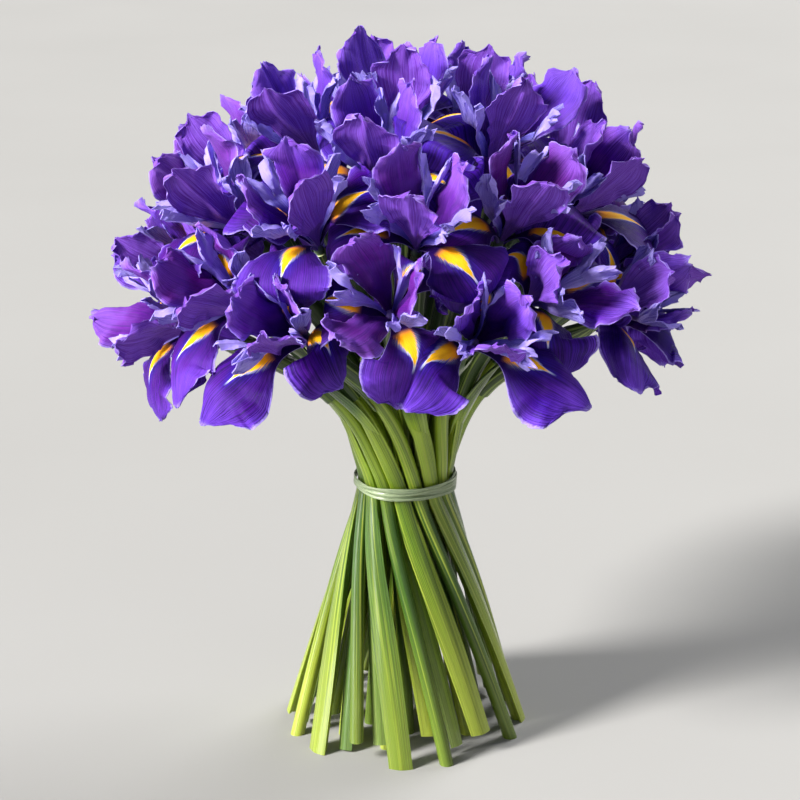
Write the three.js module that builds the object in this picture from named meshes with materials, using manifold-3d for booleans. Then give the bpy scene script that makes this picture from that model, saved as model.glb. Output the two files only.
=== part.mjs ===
// A hand-tied spiral bunch of thirty-two Dutch irises, standing on its cut stem ends with no vase.
//
// Millimetres, +Z up. The origin is the middle of the middle stem's cut foot, on the surface that the bunch
// stands on. The side that the photograph shows faces -Y.
//
// Every stem passes the tie on a spiral: it leans the same way round as its neighbours, so the feet fan out
// below the tie and the blooms fan out above it, and no stem crosses another.
// Every bloom has three falls, three standards and three style arms, bent to stay in its share of the head.

import * as THREE from "three";
import { mergeVertices } from "three/addons/utils/BufferGeometryUtils.js";
import Module from "manifold-3d";

const wasm = await Module();
wasm.setup();

// Driving dimensions

const TIE_HEIGHT = 151;
const STEM_SIDES = 6;
const STEM_RADIUS = 4;
const PRESSED_RADIUS = 4.5; // an inner stem where the tie presses it against its neighbours
const SEAT_GAP = 0.3;
const MERGE_DISTANCE = 0.001;

const PETAL_THICKNESS = 0.8;
const WALL_MARGIN = 1.1; // from a petal's middle surface to the wall of the bloom's share
const MIDRIB_MARGIN = 5; // the same from a petal's midrib, so that its sides keep some width
const ROOT_SHARE = 0.7; // the most of a petal's room at its root that its midrib's margin takes
const WALL_SOFTNESS = 8; // a petal starts to bend this far from the wall
const WALK_STEP = 3;
const TURNS_A_STEP = 6;
const HANGING_LEAN = 122; // a fall hangs over if its tip leans out by more than this
const STANDING_LENGTH = 0.84; // the share of its length that shows of a fall that stands up
const SHORTEST_STEP = 1.2; // a petal ends where it can't grow on by this much
const AXIS_ROOM = 17; // a petal that is pressed back inward ends this far from the bloom's axis
const SECTOR_MARGIN = 0.6;
const MIDRIB_SECTOR_MARGIN = 2.5;
const CROWD = { height: 20, shut: 20, open: 34 }; // room straight out of a bloom, at a height over its foot

// The head is laid out in rings round a focus in the neck of the bunch. polar is the angle from +Z at the
// focus, reach the distance from the focus to the bloom's foot, tieRadius the ring of its stems at the tie.
const FOCUS = new THREE.Vector3(0, 0, 190);
const RINGS = [
  { count: 1, polar: 0, reach: 148, tieRadius: 0, turn: 0 },
  { count: 5, polar: 19, reach: 146, tieRadius: 7.5, turn: -16 },
  { count: 10, polar: 37, reach: 142, tieRadius: 14.9, turn: 2 },
  { count: 16, polar: 54, reach: 134, tieRadius: 23.3, turn: -4 },
];
const LOWER_BLOOM = { polar: 7, reach: -9 }; // every second bloom of the last ring hangs lower
const LAYOUT_SEED = 7;
const JITTER = { azimuth: 0.1, polar: 1.8, reach: 6, opening: 0.14 };

// The blooms in front that are placed one by one, by ring and place in it: azimuth and polar angle in
// degrees, and for some the turn of a fall from straight down.
const PLACED = {
  "2-0": { azimuth: -86, polar: 36, roll: 36 },
  "2-1": { azimuth: -53, polar: 35 },
  "2-9": { azimuth: -120, polar: 38, roll: 8 },
  "2-8": { azimuth: -156, polar: 39, roll: 0 },
  "3-0": { azimuth: -94, polar: 51, roll: 27 },
  "3-1": { azimuth: -72, polar: 57, roll: 50 },
  "3-2": { azimuth: -52, polar: 50, roll: -30 },
  "3-15": { azimuth: -118, polar: 57, roll: -37 },
};

// Neighbouring blooms meet at a wall between them. Where a fall of one points across and none of the
// other's does, the wall moves away from that fall, and leans so that the other's standard keeps its room
// above.
const WALL_HEIGHT = 34; // from a bloom's foot, along its axis
const WALL_SHIFT = 16;
const WALL_LEAN = 17;
const STEM_ROOM = 9; // from any wall to the stem below the bloom on either side
const STEM_ROOM_DEPTH = 12; // how far below the bloom's foot that holds
const NEIGHBOUR_REACH = 105;
const WALL_TRIES = 12;
const WALL_RETREAT = 0.85; // what is left of a wall's shift after each try
const ROLL_SWEEPS = 12;
// How strongly a fall of an upper bloom of the last ring, or a standard of a lower one, seeks to hang down.
const HANG_DOWN = 0.35;

// The spiral: how far the bunch has turned and opened at a height above or below the tie.
const FOOT_TURN = THREE.MathUtils.degToRad(50);
const HEAD_TURN = THREE.MathUtils.degToRad(42);
const TURN_LENGTH = 70;
const OPENING = 0.0132;
const OPENING_LENGTH = 8;
const NECK_HEIGHT = TIE_HEIGHT + 26;
const HEAD_TURN_HEIGHT = 86; // the height above the tie over which the head makes its turn

// The heights that a stem is drawn at up to the neck, each with the half width of a sheathing leaf there.
// Then its shares of the way from the neck to the bloom, each with its radius: it swells in the spathe.
const STEM_HEIGHTS = [[0, 8], [60, 8.5], [118, 6.4], [TIE_HEIGHT, 4.2], [NECK_HEIGHT, 5]];
const SPATHE = [[0.35, 4], [0.68, 4.5], [0.86, 5.2], [1, 3.4]];
const SHEATH = { edge: 0.62, flankOut: -0.35, flankSide: 0.94 }; // shares of the radius of a leafy stem
const SPATHE_LEAF = 0.85; // the sheathing leaf's half width in the spathe, as a share of the radius
const NECK_PULL = 0.4; // how far a stem keeps its way out of the neck and into its bloom
const SHORT_STEMS = 14; // the most that a stem in the bunch is cut shorter than the rest

// The free end of a leaf, by shares of the way from the neck to the bloom.
const LEAF_THICKNESS = 0.8;
const LEAF_FOLD = 0.35;
const LEAF_BLADE = [
  { share: 0.02, lift: 1, halfWidth: 3 },
  { share: 0.2, lift: 5.5, halfWidth: 6 },
  { share: 0.42, lift: 10, halfWidth: 5.5 },
  { share: 0.7, lift: 13, halfWidth: 0 },
];

// The tie's section as [outward from the stems, up] lengths, its knot, and the knot's loose ends.
const TIE_INNER_RADIUS = 28.5;
const TIE_SIDES = 36;
const TIE_PROFILE = [[0, -2.8], [1.2, -2.2], [0.7, -0.7], [1.2, 0.8], [0.8, 1.4], [1.1, 2.4], [0, 2.8]];
const KNOT = { width: 7, depth: 4.4, height: 6, sides: 8 };
const LOOSE_END = { length: 24, width: 3, thickness: 0.8, tilt: 14, splay: 24, lift: 3.1 };

const degrees = THREE.MathUtils.degToRad;
const vector = (x, y, z) => new THREE.Vector3(x, y, z);
const UP = vector(0, 0, 1);

// A seeded draw from -1 to 1, the same on every run.
function seededDraw(seed) {
  let state = seed;
  return () => {
    state = (state * 16807) % 2147483647;
    return (2 * state) / 2147483647 - 1;
  };
}

// A smooth curve through [position, value] pairs, flat at each of them.
function eased(pairs, position) {
  const last = pairs.length - 1;
  if (position <= pairs[0][0]) return pairs[0][1];
  if (position >= pairs[last][0]) return pairs[last][1];
  const i = pairs.findIndex(([p]) => p > position);
  const [p0, v0] = pairs[i - 1];
  const [p1, v1] = pairs[i];
  const t = (position - p0) / (p1 - p0);
  return v0 + (v1 - v0) * t * t * (3 - 2 * t);
}

// Layout of the head

// Each iris: its ring, the place of its stem at the tie, and its bloom's foot, axis and opening.
function layOutIrises() {
  const draw = seededDraw(LAYOUT_SEED);
  const irises = [];
  RINGS.forEach((ring, ringIndex) => {
    for (let slot = 0; slot < ring.count; slot++) {
      const lower = ringIndex === RINGS.length - 1 && slot % 2 === 1;
      const spread = ringIndex ? 1 : 0;
      const byRule = {
        azimuth: -90 + ring.turn + (360 / ring.count) * (slot + spread * JITTER.azimuth * draw()),
        polar: ring.polar + (lower ? LOWER_BLOOM.polar : 0) + spread * JITTER.polar * draw(),
      };
      const place = PLACED[`${ringIndex}-${slot}`] ?? byRule;
      const reach = ring.reach + (lower ? LOWER_BLOOM.reach : 0) + JITTER.reach * draw();
      const azimuth = degrees(place.azimuth);
      const outward = vector(Math.cos(azimuth), Math.sin(azimuth), 0);
      const axis = UP.clone().multiplyScalar(Math.cos(degrees(place.polar)));
      axis.addScaledVector(outward, Math.sin(degrees(place.polar)));
      const down = outward.clone().addScaledVector(axis, -outward.dot(axis)).normalize();
      const foot = FOCUS.clone().addScaledVector(axis, reach);
      irises.push({
        ringIndex,
        slot,
        hang: ringIndex < RINGS.length - 1 ? 0 : lower ? HANG_DOWN : -HANG_DOWN,
        tieRadius: ring.tieRadius,
        tieAngle: degrees(-90 + ring.turn + (360 / ring.count) * slot) + HEAD_TURN,
        axis,
        down,
        side: axis.clone().cross(down),
        foot,
        middle: foot.clone().addScaledVector(axis, WALL_HEIGHT),
        opening: 1 + JITTER.opening * draw(),
        roll: degrees(place.roll ?? 0),
        settled: place.roll !== undefined,
        cutHeight: ringIndex && slot % 3 === 2 ? SHORT_STEMS * Math.abs(draw()) : 0,
      });
    }
  });
  return irises;
}

// The direction of another iris as seen along this one's axis, as a turn from this one's down.
function bearing(iris, other) {
  const across = other.middle.clone().sub(iris.middle);
  return Math.atan2(across.dot(iris.side), across.dot(iris.down));
}

// From 1 where a fall points at the other iris to -1 where a standard does.
function fallTowards(iris, other) {
  return Math.cos(3 * (iris.roll - bearing(iris, other)));
}

function neighboursOf(iris, irises) {
  return irises.filter((other) => other !== iris && other.middle.distanceTo(iris.middle) < NEIGHBOUR_REACH);
}

// Turns each bloom that isn't placed by hand so that its falls point between its neighbours' falls.
function settleRolls(irises) {
  for (let sweep = 0; sweep < ROLL_SWEEPS; sweep++) {
    for (const iris of irises) {
      if (iris.settled) continue;
      let cosine = iris.hang;
      let sine = 0;
      for (const other of neighboursOf(iris, irises)) {
        const nearness = (1 - other.middle.distanceTo(iris.middle) / NEIGHBOUR_REACH) ** 2;
        const pull = nearness * fallTowards(other, iris);
        cosine += pull * Math.cos(3 * bearing(iris, other));
        sine += pull * Math.sin(3 * bearing(iris, other));
      }
      iris.roll = (Math.atan2(sine, cosine) + Math.PI) / 3;
    }
  }
}

// The flat walls between a bloom's share of the head and its neighbours'. Two neighbours get the same wall.
function wallsOf(iris, irises) {
  return neighboursOf(iris, irises).map((other) => {
    const across = other.middle.clone().sub(iris.middle).normalize();
    const outward = iris.axis.clone().add(other.axis);
    outward.addScaledVector(across, -outward.dot(across)).normalize();
    const halfway = iris.middle.clone().add(other.middle).multiplyScalar(0.5);
    let weight = (fallTowards(iris, other) - fallTowards(other, iris)) / 2;
    for (let tries = 0; ; tries++) {
      const lean = degrees(WALL_LEAN) * weight;
      const normal = across.clone().multiplyScalar(Math.cos(lean)).addScaledVector(outward, Math.sin(lean));
      const point = halfway.clone().addScaledVector(across, WALL_SHIFT * weight);
      const wall = { normal, offset: normal.dot(point) };
      const bothHaveRoom = stemRoom(iris, wall) > STEM_ROOM && -stemRoom(other, wall) > STEM_ROOM;
      if (tries === WALL_TRIES || bothHaveRoom) return wall;
      weight *= WALL_RETREAT;
    }
  });
}

// How far inside a wall an iris's stem is, just below its bloom.
function stemRoom(iris, wall) {
  const below = iris.foot.clone().addScaledVector(iris.axis, -STEM_ROOM_DEPTH);
  return wall.offset - wall.normal.dot(below);
}

// Petals

// The room left before a wall, less a margin.
function roomTo(wall, point, margin) {
  return Math.max(wall.offset - wall.normal.dot(point) - margin, 0);
}

// A straight step from a point that ends at the first wall in its way.
function straightStep(point, direction, length, walls, margin) {
  let step = length;
  for (const wall of walls) {
    const outgoing = direction.dot(wall.normal);
    if (outgoing > 0) step = Math.min(step, roomTo(wall, point, margin) / outgoing);
  }
  return point.clone().addScaledVector(direction, step);
}

// A short step that turns along the walls that are near, the more the nearer, and rather towards easier. It
// turns a few times over, so that it finds its way where walls meet.
function bendStep(point, direction, length, walls, margin, easier) {
  const turned = direction.clone();
  const near = walls.filter((wall) => roomTo(wall, point, margin) < WALL_SOFTNESS);
  for (let turn = 0; turn < TURNS_A_STEP; turn++) {
    for (const wall of near) {
      const lost = turned.dot(wall.normal) * (1 - roomTo(wall, point, margin) / WALL_SOFTNESS);
      if (lost <= 0) continue;
      turned.addScaledVector(wall.normal, -lost);
      turned.addScaledVector(easier, lost).addScaledVector(wall.normal, -lost * easier.dot(wall.normal));
    }
    turned.normalize();
  }
  return straightStep(point, turned, length, walls, margin);
}

// A petal's kind: the level of the bloom's hub that it grows from, how it leans from the bloom's axis along
// its length, and how wide it is, both at shares of the length. sides is the angle at which its sides rise
// from level, on its upper face, or sink where it is negative. An upright petal keeps within the angle
// sector on either side of its middle. crowdedLean is the share of its lean where a neighbour is close, and
// margin the room that it leaves before a wall beyond the others.
const FALL = {
  level: 1,
  length: 67,
  lean: [[0, 22], [0.16, 42], [0.36, 66], [0.62, 106], [1, 140]],
  halfWidth: [[0, 1.3], [0.3, 6.5], [0.62, 26], [0.85, 23], [1, 9]],
  sector: 24,
  sides: 10,
  crowdedLean: 0.5,
  margin: 0,
};
const STANDARD = {
  level: 2,
  length: 62,
  lean: [[0, 12], [0.3, 32], [0.65, 26], [1, 8]],
  halfWidth: [[0, 1.3], [0.25, 4], [0.68, 15.5], [0.9, 12], [1, 0]],
  sector: 36,
  sides: -18,
  crowdedLean: 0.8,
  margin: 3,
};
const STYLE_ARM = {
  level: 3,
  length: 30,
  lean: [[0, 8], [0.5, 36], [1, 52]],
  halfWidth: [[0, 1.3], [0.5, 5.5], [1, 7.5]],
  sector: 24,
  sides: 20,
  crowdedLean: 0.5,
  margin: 5,
};
const CREST = { length: 14, lean: 12, splay: 24, steps: 5, inset: 0.3 };

// The frame of a petal at an angle round the bloom's axis.
function petalFrame(iris, angle) {
  const out = iris.down.clone().multiplyScalar(Math.cos(angle)).addScaledVector(iris.side, Math.sin(angle));
  return { axis: iris.axis, out, side: iris.axis.clone().cross(out) };
}

function leaning(frame, degreesFromAxis) {
  const angle = degrees(degreesFromAxis);
  return frame.out.clone().multiplyScalar(Math.sin(angle)).addScaledVector(frame.axis, Math.cos(angle));
}

// How far a petal leans out, as a share of its kind's lean: less where a neighbour's share is close.
function leanShare(iris, frame, kind) {
  const start = iris.foot.clone().addScaledVector(frame.axis, CROWD.height);
  const room = straightStep(start, frame.out, CROWD.open, iris.walls, WALL_MARGIN).distanceTo(start);
  const free = THREE.MathUtils.smoothstep(room, CROWD.shut, CROWD.open);
  return iris.opening * THREE.MathUtils.lerp(kind.crowdedLean, 1, free);
}

function hangsOver(iris, frame, kind) {
  return leanShare(iris, frame, kind) * kind.lean[kind.lean.length - 1][1] > HANGING_LEAN;
}

// The points of a petal's midrib, from its root to its tip. Where it meets a wall, a petal that hangs over
// bends down, and any other bends up.
function midribOf(iris, frame, kind) {
  const hangs = hangsOver(iris, frame, kind);
  const stands = kind === FALL && !hangs;
  const length = kind.length * (stands ? STANDING_LENGTH : 1);
  const steps = Math.ceil(length / WALK_STEP);
  const points = [rootMiddle(iris, frame, kind)];
  const share = leanShare(iris, frame, kind);
  const outOf = (point) => point.clone().sub(iris.foot).dot(frame.out);
  const easier = frame.axis.clone().multiplyScalar(hangs ? -1 : 1);
  const rootRoom = Math.min(...iris.walls.map((wall) => roomTo(wall, points[0], 0)));
  const margin = Math.min(MIDRIB_MARGIN + kind.margin, ROOT_SHARE * rootRoom);
  const sectors = stands ? sectorWalls(iris, frame, kind, margin - MIDRIB_SECTOR_MARGIN) : [];
  const walls = [...iris.walls, ...sectors];
  for (let i = 0; i < steps; i++) {
    const direction = leaning(frame, share * eased(kind.lean, (i + 0.5) / steps));
    const point = bendStep(points[i], direction, length / steps, walls, margin, easier);
    const inward = outOf(point) < outOf(points[i]);
    const stalls = point.distanceTo(points[i]) < SHORTEST_STEP;
    if (i > 1 && (stalls || (inward && outOf(point) < AXIS_ROOM))) break;
    points.push(stalls ? straightStep(points[i], direction, SHORTEST_STEP, walls, 0) : point);
  }
  return points;
}

function alongMidrib(midrib, share) {
  const position = share * (midrib.length - 1);
  const i = Math.min(Math.floor(position), midrib.length - 2);
  return midrib[i].clone().lerp(midrib[i + 1], position - i);
}

// Upright walls through a bloom's axis on both sides of a petal. They keep standards and style arms apart.
function sectorWalls(iris, frame, kind, ease = 0) {
  return [-1, 1].map((sign) => {
    const angle = degrees(kind.sector);
    const normal = frame.side.clone().multiplyScalar(sign * Math.cos(angle));
    normal.addScaledVector(frame.out, -Math.sin(angle));
    return { normal, offset: normal.dot(iris.foot) + ease };
  });
}

// A point to one side of the midrib, at a share of the half width there. across is from -1 to 1.
function acrossPetal(iris, frame, kind, midrib, share, across) {
  const lean = leaning(frame, leanShare(iris, frame, kind) * eased(kind.lean, share));
  const upper = lean.clone().cross(frame.side);
  const direction = frame.side.clone().multiplyScalar(Math.sign(across) * Math.cos(degrees(kind.sides)));
  direction.addScaledVector(upper, Math.sin(degrees(kind.sides)));
  const width = Math.abs(across) * eased(kind.halfWidth, share);
  const middle = alongMidrib(midrib, share);
  const end = straightStep(middle, direction, width, iris.walls, WALL_MARGIN + kind.margin);
  const free = end.distanceTo(middle);
  if (hangsOver(iris, frame, kind)) return end;
  return straightStep(middle, direction, free, sectorWalls(iris, frame, kind), SECTOR_MARGIN);
}

// The direction halfway between the two of the normals that differ most.
function midNormal(normals) {
  let pair = [normals[0], normals[0]];
  for (const one of normals) {
    for (const other of normals) {
      if (one.dot(other) < pair[0].dot(pair[1])) pair = [one, other];
    }
  }
  return pair[0].clone().add(pair[1]).normalize();
}

// The two faces and the edges of a thin petal, from the points of its middle surface and its triangles,
// which turn left seen from above. The first two points take the places given in root, as [upper, under]
// pairs, and the petal stays open between them, where it grows from its hub.
function thicken(points, triangles, thickness, root) {
  const around = points.map(() => []);
  for (const [a, b, c] of triangles) {
    const normal = points[b].clone().sub(points[a]).cross(points[c].clone().sub(points[a])).normalize();
    for (const corner of [a, b, c]) around[corner].push(normal);
  }
  const faces = [0.5, -0.5].map((side, face) =>
    points.map((point, i) => {
      const place = point.clone().addScaledVector(midNormal(around[i]), side * thickness);
      return root[i]?.[face] ?? place;
    }),
  );
  const [upper, under] = faces;
  const edges = new Set(triangles.flatMap(([a, b, c]) => [`${a},${b}`, `${b},${c}`, `${c},${a}`]));
  const skin = [];
  for (const [a, b, c] of triangles) {
    skin.push([upper[a], upper[b], upper[c]], [under[a], under[c], under[b]]);
  }
  for (const edge of edges) {
    const [a, b] = edge.split(",").map(Number);
    const isRoot = a < root.length && b < root.length;
    if (isRoot || edges.has(`${b},${a}`)) continue;
    skin.push([upper[b], upper[a], under[a]], [upper[b], under[a], under[b]]);
  }
  return skin;
}

function solidFrom(vertProperties, triVerts) {
  return new wasm.Manifold(new wasm.Mesh({ numProp: 3, vertProperties, triVerts }));
}

// Rows of points, each with its share of the length and the places across, joined by strips of triangles.
function petalSheet(iris, frame, kind, rows) {
  const midrib = midribOf(iris, frame, kind);
  const points = [-1, 1].map((place) => acrossPetal(iris, frame, kind, midrib, 0, place));
  const triangles = [];
  let before = [0, 1];
  for (const { share, across } of rows) {
    const row = across.map((place) => points.push(acrossPetal(iris, frame, kind, midrib, share, place)) - 1);
    joinRows(before, row, triangles);
    before = row;
  }
  return { points, triangles, lastRow: before };
}

// Triangles between two rows of points that may differ in number.
function joinRows(lower, upper, triangles) {
  let i = 0;
  let j = 0;
  while (i < lower.length - 1 || j < upper.length - 1) {
    const lowerShare = (i + 1) / Math.max(lower.length - 1, 1);
    const upperShare = (j + 1) / Math.max(upper.length - 1, 1);
    const stepLower = j >= upper.length - 1 || (i < lower.length - 1 && lowerShare <= upperShare);
    if (stepLower) {
      triangles.push([lower[i + 1], lower[i], upper[j]]);
      i++;
    } else {
      triangles.push([lower[i], upper[j], upper[j + 1]]);
      j++;
    }
  }
}

// The rows of a petal after its root: the share of its length, and the places across it.
const FALL_ROWS = [
  { share: 0.36, across: [-1, 1] },
  { share: 0.5, across: [-1, 0, 1] },
  { share: 0.73, across: [-1, 0, 1] },
  { share: 0.9, across: [-1, 0, 1] },
  { share: 1, across: [-1, 1] },
];
const STANDARD_ROWS = [
  { share: 0.36, across: [-1, 1] },
  { share: 0.68, across: [-1, 0, 1] },
  { share: 0.9, across: [-1, 1] },
  { share: 1, across: [0] },
];
const STYLE_ROWS = [{ share: 1, across: [-1, 0, 1] }];

// The hub that every petal of a bloom grows from: a six-sided column standing on the stem's end. Its sides
// turn towards the falls and the standards by turns, and each level starts where the one below ends.
const HUB = { sides: 6, radius: 2.6, levels: [0, 3.6, 6, 8.2, 10.4] };

function hubCorner(iris, level, corner) {
  const angle = iris.roll + ((corner - 0.5) * 2 * Math.PI) / HUB.sides;
  const point = iris.foot.clone().addScaledVector(iris.axis, HUB.levels[level]);
  return point.addScaledVector(petalFrame(iris, angle).out, HUB.radius);
}

// The hub's skin, open where petals grow from its sides.
function hubSkin(iris) {
  const { sides, levels } = HUB;
  const rings = levels.map((_, level) => {
    return Array.from({ length: sides }, (_, corner) => hubCorner(iris, level, corner));
  });
  const skin = [];
  const lowest = rings[0];
  const highest = rings[levels.length - 1];
  for (let i = 1; i < sides - 1; i++) {
    skin.push([lowest[0], lowest[i + 1], lowest[i]], [highest[0], highest[i], highest[i + 1]]);
  }
  for (let level = 0; level < levels.length - 1; level++) {
    for (let i = 0; i < sides; i++) {
      const growing = i % 2 ? [STANDARD.level] : [FALL.level, STYLE_ARM.level];
      if (growing.includes(level)) continue;
      const next = (i + 1) % sides;
      const [low, high] = [rings[level], rings[level + 1]];
      skin.push([low[i], low[next], high[next]], [low[i], high[next], high[i]]);
    }
  }
  return skin;
}

function rootMiddle(iris, frame, kind) {
  const height = (HUB.levels[kind.level] + HUB.levels[kind.level + 1]) / 2;
  const point = iris.foot.clone().addScaledVector(frame.axis, height);
  return point.addScaledVector(frame.out, HUB.radius * Math.cos(Math.PI / HUB.sides));
}

// A petal on one side of the hub. Its root has that side's corners, so the two join without a seam.
function petalSkin(iris, side, kind, rows) {
  const frame = petalFrame(iris, iris.roll + (side * 2 * Math.PI) / HUB.sides);
  const corners = [side, (side + 1) % HUB.sides];
  const root = corners.map((corner) => [
    hubCorner(iris, kind.level + 1, corner),
    hubCorner(iris, kind.level, corner),
  ]);
  const sheet = petalSheet(iris, frame, kind, rows);
  if (kind === STYLE_ARM) addCrest(iris, frame, sheet);
  return thicken(sheet.points, sheet.triangles, PETAL_THICKNESS, root);
}

// The style arm's end turns up in two lobes with a notch between them.
function addCrest(iris, frame, sheet) {
  const [left, middle, right] = sheet.lastRow;
  const margin = WALL_MARGIN + STYLE_ARM.margin;
  const sectors = sectorWalls(iris, frame, STYLE_ARM);
  for (const [edge, sign] of [[left, -1], [right, 1]]) {
    const direction = leaning(frame, CREST.lean);
    direction.addScaledVector(frame.side, sign * Math.tan(degrees(CREST.splay))).normalize();
    let tip = sheet.points[edge].clone().lerp(sheet.points[middle], CREST.inset);
    for (let i = 0; i < CREST.steps; i++) {
      tip = bendStep(tip, direction, CREST.length / CREST.steps, iris.walls, margin, frame.axis);
    }
    const across = tip.sub(sheet.points[middle]);
    const length = across.length();
    tip = straightStep(sheet.points[middle], across.normalize(), length, sectors, SECTOR_MARGIN);
    const tipIndex = sheet.points.push(tip) - 1;
    sheet.triangles.push(sign < 0 ? [middle, left, tipIndex] : [right, middle, tipIndex]);
  }
}

function bloomGeometry(iris) {
  const skin = hubSkin(iris);
  for (const side of [0, 2, 4]) {
    skin.push(...petalSkin(iris, side, FALL, FALL_ROWS));
    skin.push(...petalSkin(iris, side + 1, STANDARD, STANDARD_ROWS));
    skin.push(...petalSkin(iris, side, STYLE_ARM, STYLE_ROWS));
  }
  const corners = new THREE.BufferGeometry().setFromPoints(skin.flat());
  return mergeVertices(corners, MERGE_DISTANCE);
}

// Stems

// Where the spiral carries a point of the tie's plane, given by its radius and angle, at a height.
function spiralPoint(radius, angle, height) {
  const above = height - TIE_HEIGHT;
  const turn = above < 0 ? FOOT_TURN : HEAD_TURN;
  const full = above < 0 ? TIE_HEIGHT : HEAD_TURN_HEIGHT;
  const turned = angle - (turn * Math.atan(above / TURN_LENGTH)) / Math.atan(full / TURN_LENGTH);
  const opened = radius * (1 + OPENING * (Math.hypot(above, OPENING_LENGTH) - OPENING_LENGTH));
  return vector(opened * Math.cos(turned), opened * Math.sin(turned), height);
}

// A stem's centreline above the neck, from the spiral to the bloom's foot.
function neckCurve(iris) {
  const start = spiralPoint(iris.tieRadius, iris.tieAngle, NECK_HEIGHT);
  const before = spiralPoint(iris.tieRadius, iris.tieAngle, NECK_HEIGHT - 2);
  const end = iris.foot.clone().addScaledVector(iris.axis, -SEAT_GAP);
  const pull = start.distanceTo(end) * NECK_PULL;
  const leave = start.clone().addScaledVector(start.clone().sub(before).normalize(), pull);
  return new THREE.CubicBezierCurve3(start, leave, end.clone().addScaledVector(iris.axis, -pull), end);
}

// The levels that a stem is drawn through, with its radius and the half width of its sheathing leaf there.
function stemLevels(iris) {
  const levels = STEM_HEIGHTS.map(([height, leafWidth]) => ({
    point: spiralPoint(iris.tieRadius, iris.tieAngle, Math.max(height, iris.cutHeight)),
    radius: height === TIE_HEIGHT && iris.ringIndex < RINGS.length - 1 ? PRESSED_RADIUS : STEM_RADIUS,
    leafWidth,
  }));
  const curve = neckCurve(iris);
  for (const [share, radius] of SPATHE) {
    levels.push({ point: curve.getPoint(share), radius, leafWidth: SPATHE_LEAF * radius });
  }
  return levels;
}

// A level's corners as [out, side] lengths: six round a bare stem, or eight with a leaf folded round it.
function sectionCorners(level, leafy) {
  const { radius, leafWidth } = level;
  if (!leafy) {
    return Array.from({ length: STEM_SIDES }, (_, i) => {
      const angle = (2 * Math.PI * (i + 0.5)) / STEM_SIDES;
      return [radius * Math.cos(angle), radius * Math.sin(angle)];
    });
  }
  const edge = SHEATH.edge * radius;
  const flank = [SHEATH.flankOut * radius, SHEATH.flankSide * radius];
  const right = [[edge, leafWidth], [edge - LEAF_THICKNESS, leafWidth], flank];
  const left = right.map(([out, side]) => [out, -side]).reverse();
  return [[radius, 0], ...right, [-radius, 0], ...left];
}

// A closed solid through the corners of each level. The foot is cut level, so that it stands flat.
function stemSolid(iris, leafy) {
  const levels = stemLevels(iris);
  const last = levels.length - 1;
  const positions = [];
  levels.forEach((level, i) => {
    const { point } = level;
    const tangent = levels[Math.min(i + 1, last)].point.clone().sub(levels[Math.max(i - 1, 0)].point);
    if (i === last) tangent.copy(iris.axis);
    tangent.normalize();
    const out = iris.tieRadius ? vector(point.x, point.y, 0) : vector(1, 0, 0);
    out.addScaledVector(tangent, -out.dot(tangent)).normalize();
    const side = tangent.clone().cross(out);
    for (const [outLength, sideLength] of sectionCorners(level, leafy)) {
      const corner = point.clone().addScaledVector(out, outLength).addScaledVector(side, sideLength);
      if (i === 0) corner.addScaledVector(tangent, (point.z - corner.z) / tangent.z);
      positions.push(...corner.toArray());
    }
  });
  const sides = positions.length / 3 / levels.length;
  return solidFrom(new Float32Array(positions), new Uint32Array(columnFaces(sides, last)));
}

// The triangles of a closed column of so many sides and storeys, level by level from its foot.
function columnFaces(sides, storeys) {
  const index = [];
  const top = storeys * sides;
  for (let i = 1; i < sides - 1; i++) index.push(0, i + 1, i, top, top + i, top + i + 1);
  for (let storey = 0; storey < storeys; storey++) {
    for (let i = 0; i < sides; i++) {
      const a = storey * sides + i;
      const b = storey * sides + ((i + 1) % sides);
      index.push(a, b, b + sides, a, b + sides, a + sides);
    }
  }
  return index;
}

// The free end of a leaf: a blade that leaves its stem above the tie and ends in a point.
function leafBlade(iris) {
  const curve = neckCurve(iris);
  const rows = LEAF_BLADE.map(({ share, lift, halfWidth }) => {
    const tangent = curve.getTangent(share);
    const out = vector(iris.foot.x, iris.foot.y, 0);
    out.addScaledVector(tangent, -out.dot(tangent)).normalize();
    const side = tangent.clone().cross(out);
    const keel = curve.getPoint(share).addScaledVector(out, lift);
    const folded = keel.clone().addScaledVector(out, -LEAF_FOLD * halfWidth);
    const edges = [-1, 1].map((sign) => folded.clone().addScaledVector(side, sign * halfWidth));
    return { out, points: halfWidth ? [edges[0], keel, edges[1]] : [keel] };
  });
  const points = rows.flatMap((row) => row.points);
  const outs = rows.flatMap((row) => row.points.map(() => row.out));
  const triangles = [];
  let first = 0;
  rows.slice(1).forEach((row, i) => {
    const lower = rows[i].points.map((_, k) => first + k);
    first += lower.length;
    joinRows(lower, row.points.map((_, k) => first + k), triangles);
  });
  return bladeSolid(points, outs, triangles);
}

// A closed blade of one thickness, given its middle surface and the way that its outer face looks.
function bladeSolid(points, outs, triangles) {
  const count = points.length;
  const positions = [0.5, -0.5].flatMap((side) =>
    points.flatMap((point, i) => point.clone().addScaledVector(outs[i], side * LEAF_THICKNESS).toArray()),
  );
  const edges = new Set(triangles.flatMap(([a, b, c]) => [`${a},${b}`, `${b},${c}`, `${c},${a}`]));
  const index = triangles.flatMap(([a, b, c]) => [a, c, b, a + count, b + count, c + count]);
  for (const edge of edges) {
    const [a, b] = edge.split(",").map(Number);
    if (!edges.has(`${b},${a}`)) index.push(a, b, a + count, b, b + count, a + count);
  }
  return solidFrom(new Float32Array(positions), new Uint32Array(index));
}

// Tie

// The raffia round the waist: strands side by side, as one band.
function tieSolid() {
  const profile = TIE_PROFILE.map(([out, height]) => new THREE.Vector2(TIE_INNER_RADIUS + out, height));
  const band = new THREE.LatheGeometry([...profile, profile[0]], TIE_SIDES);
  band.rotateX(Math.PI / 2).rotateZ(Math.PI / TIE_SIDES).translate(0, 0, TIE_HEIGHT);
  return solidOf(band);
}

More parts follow.
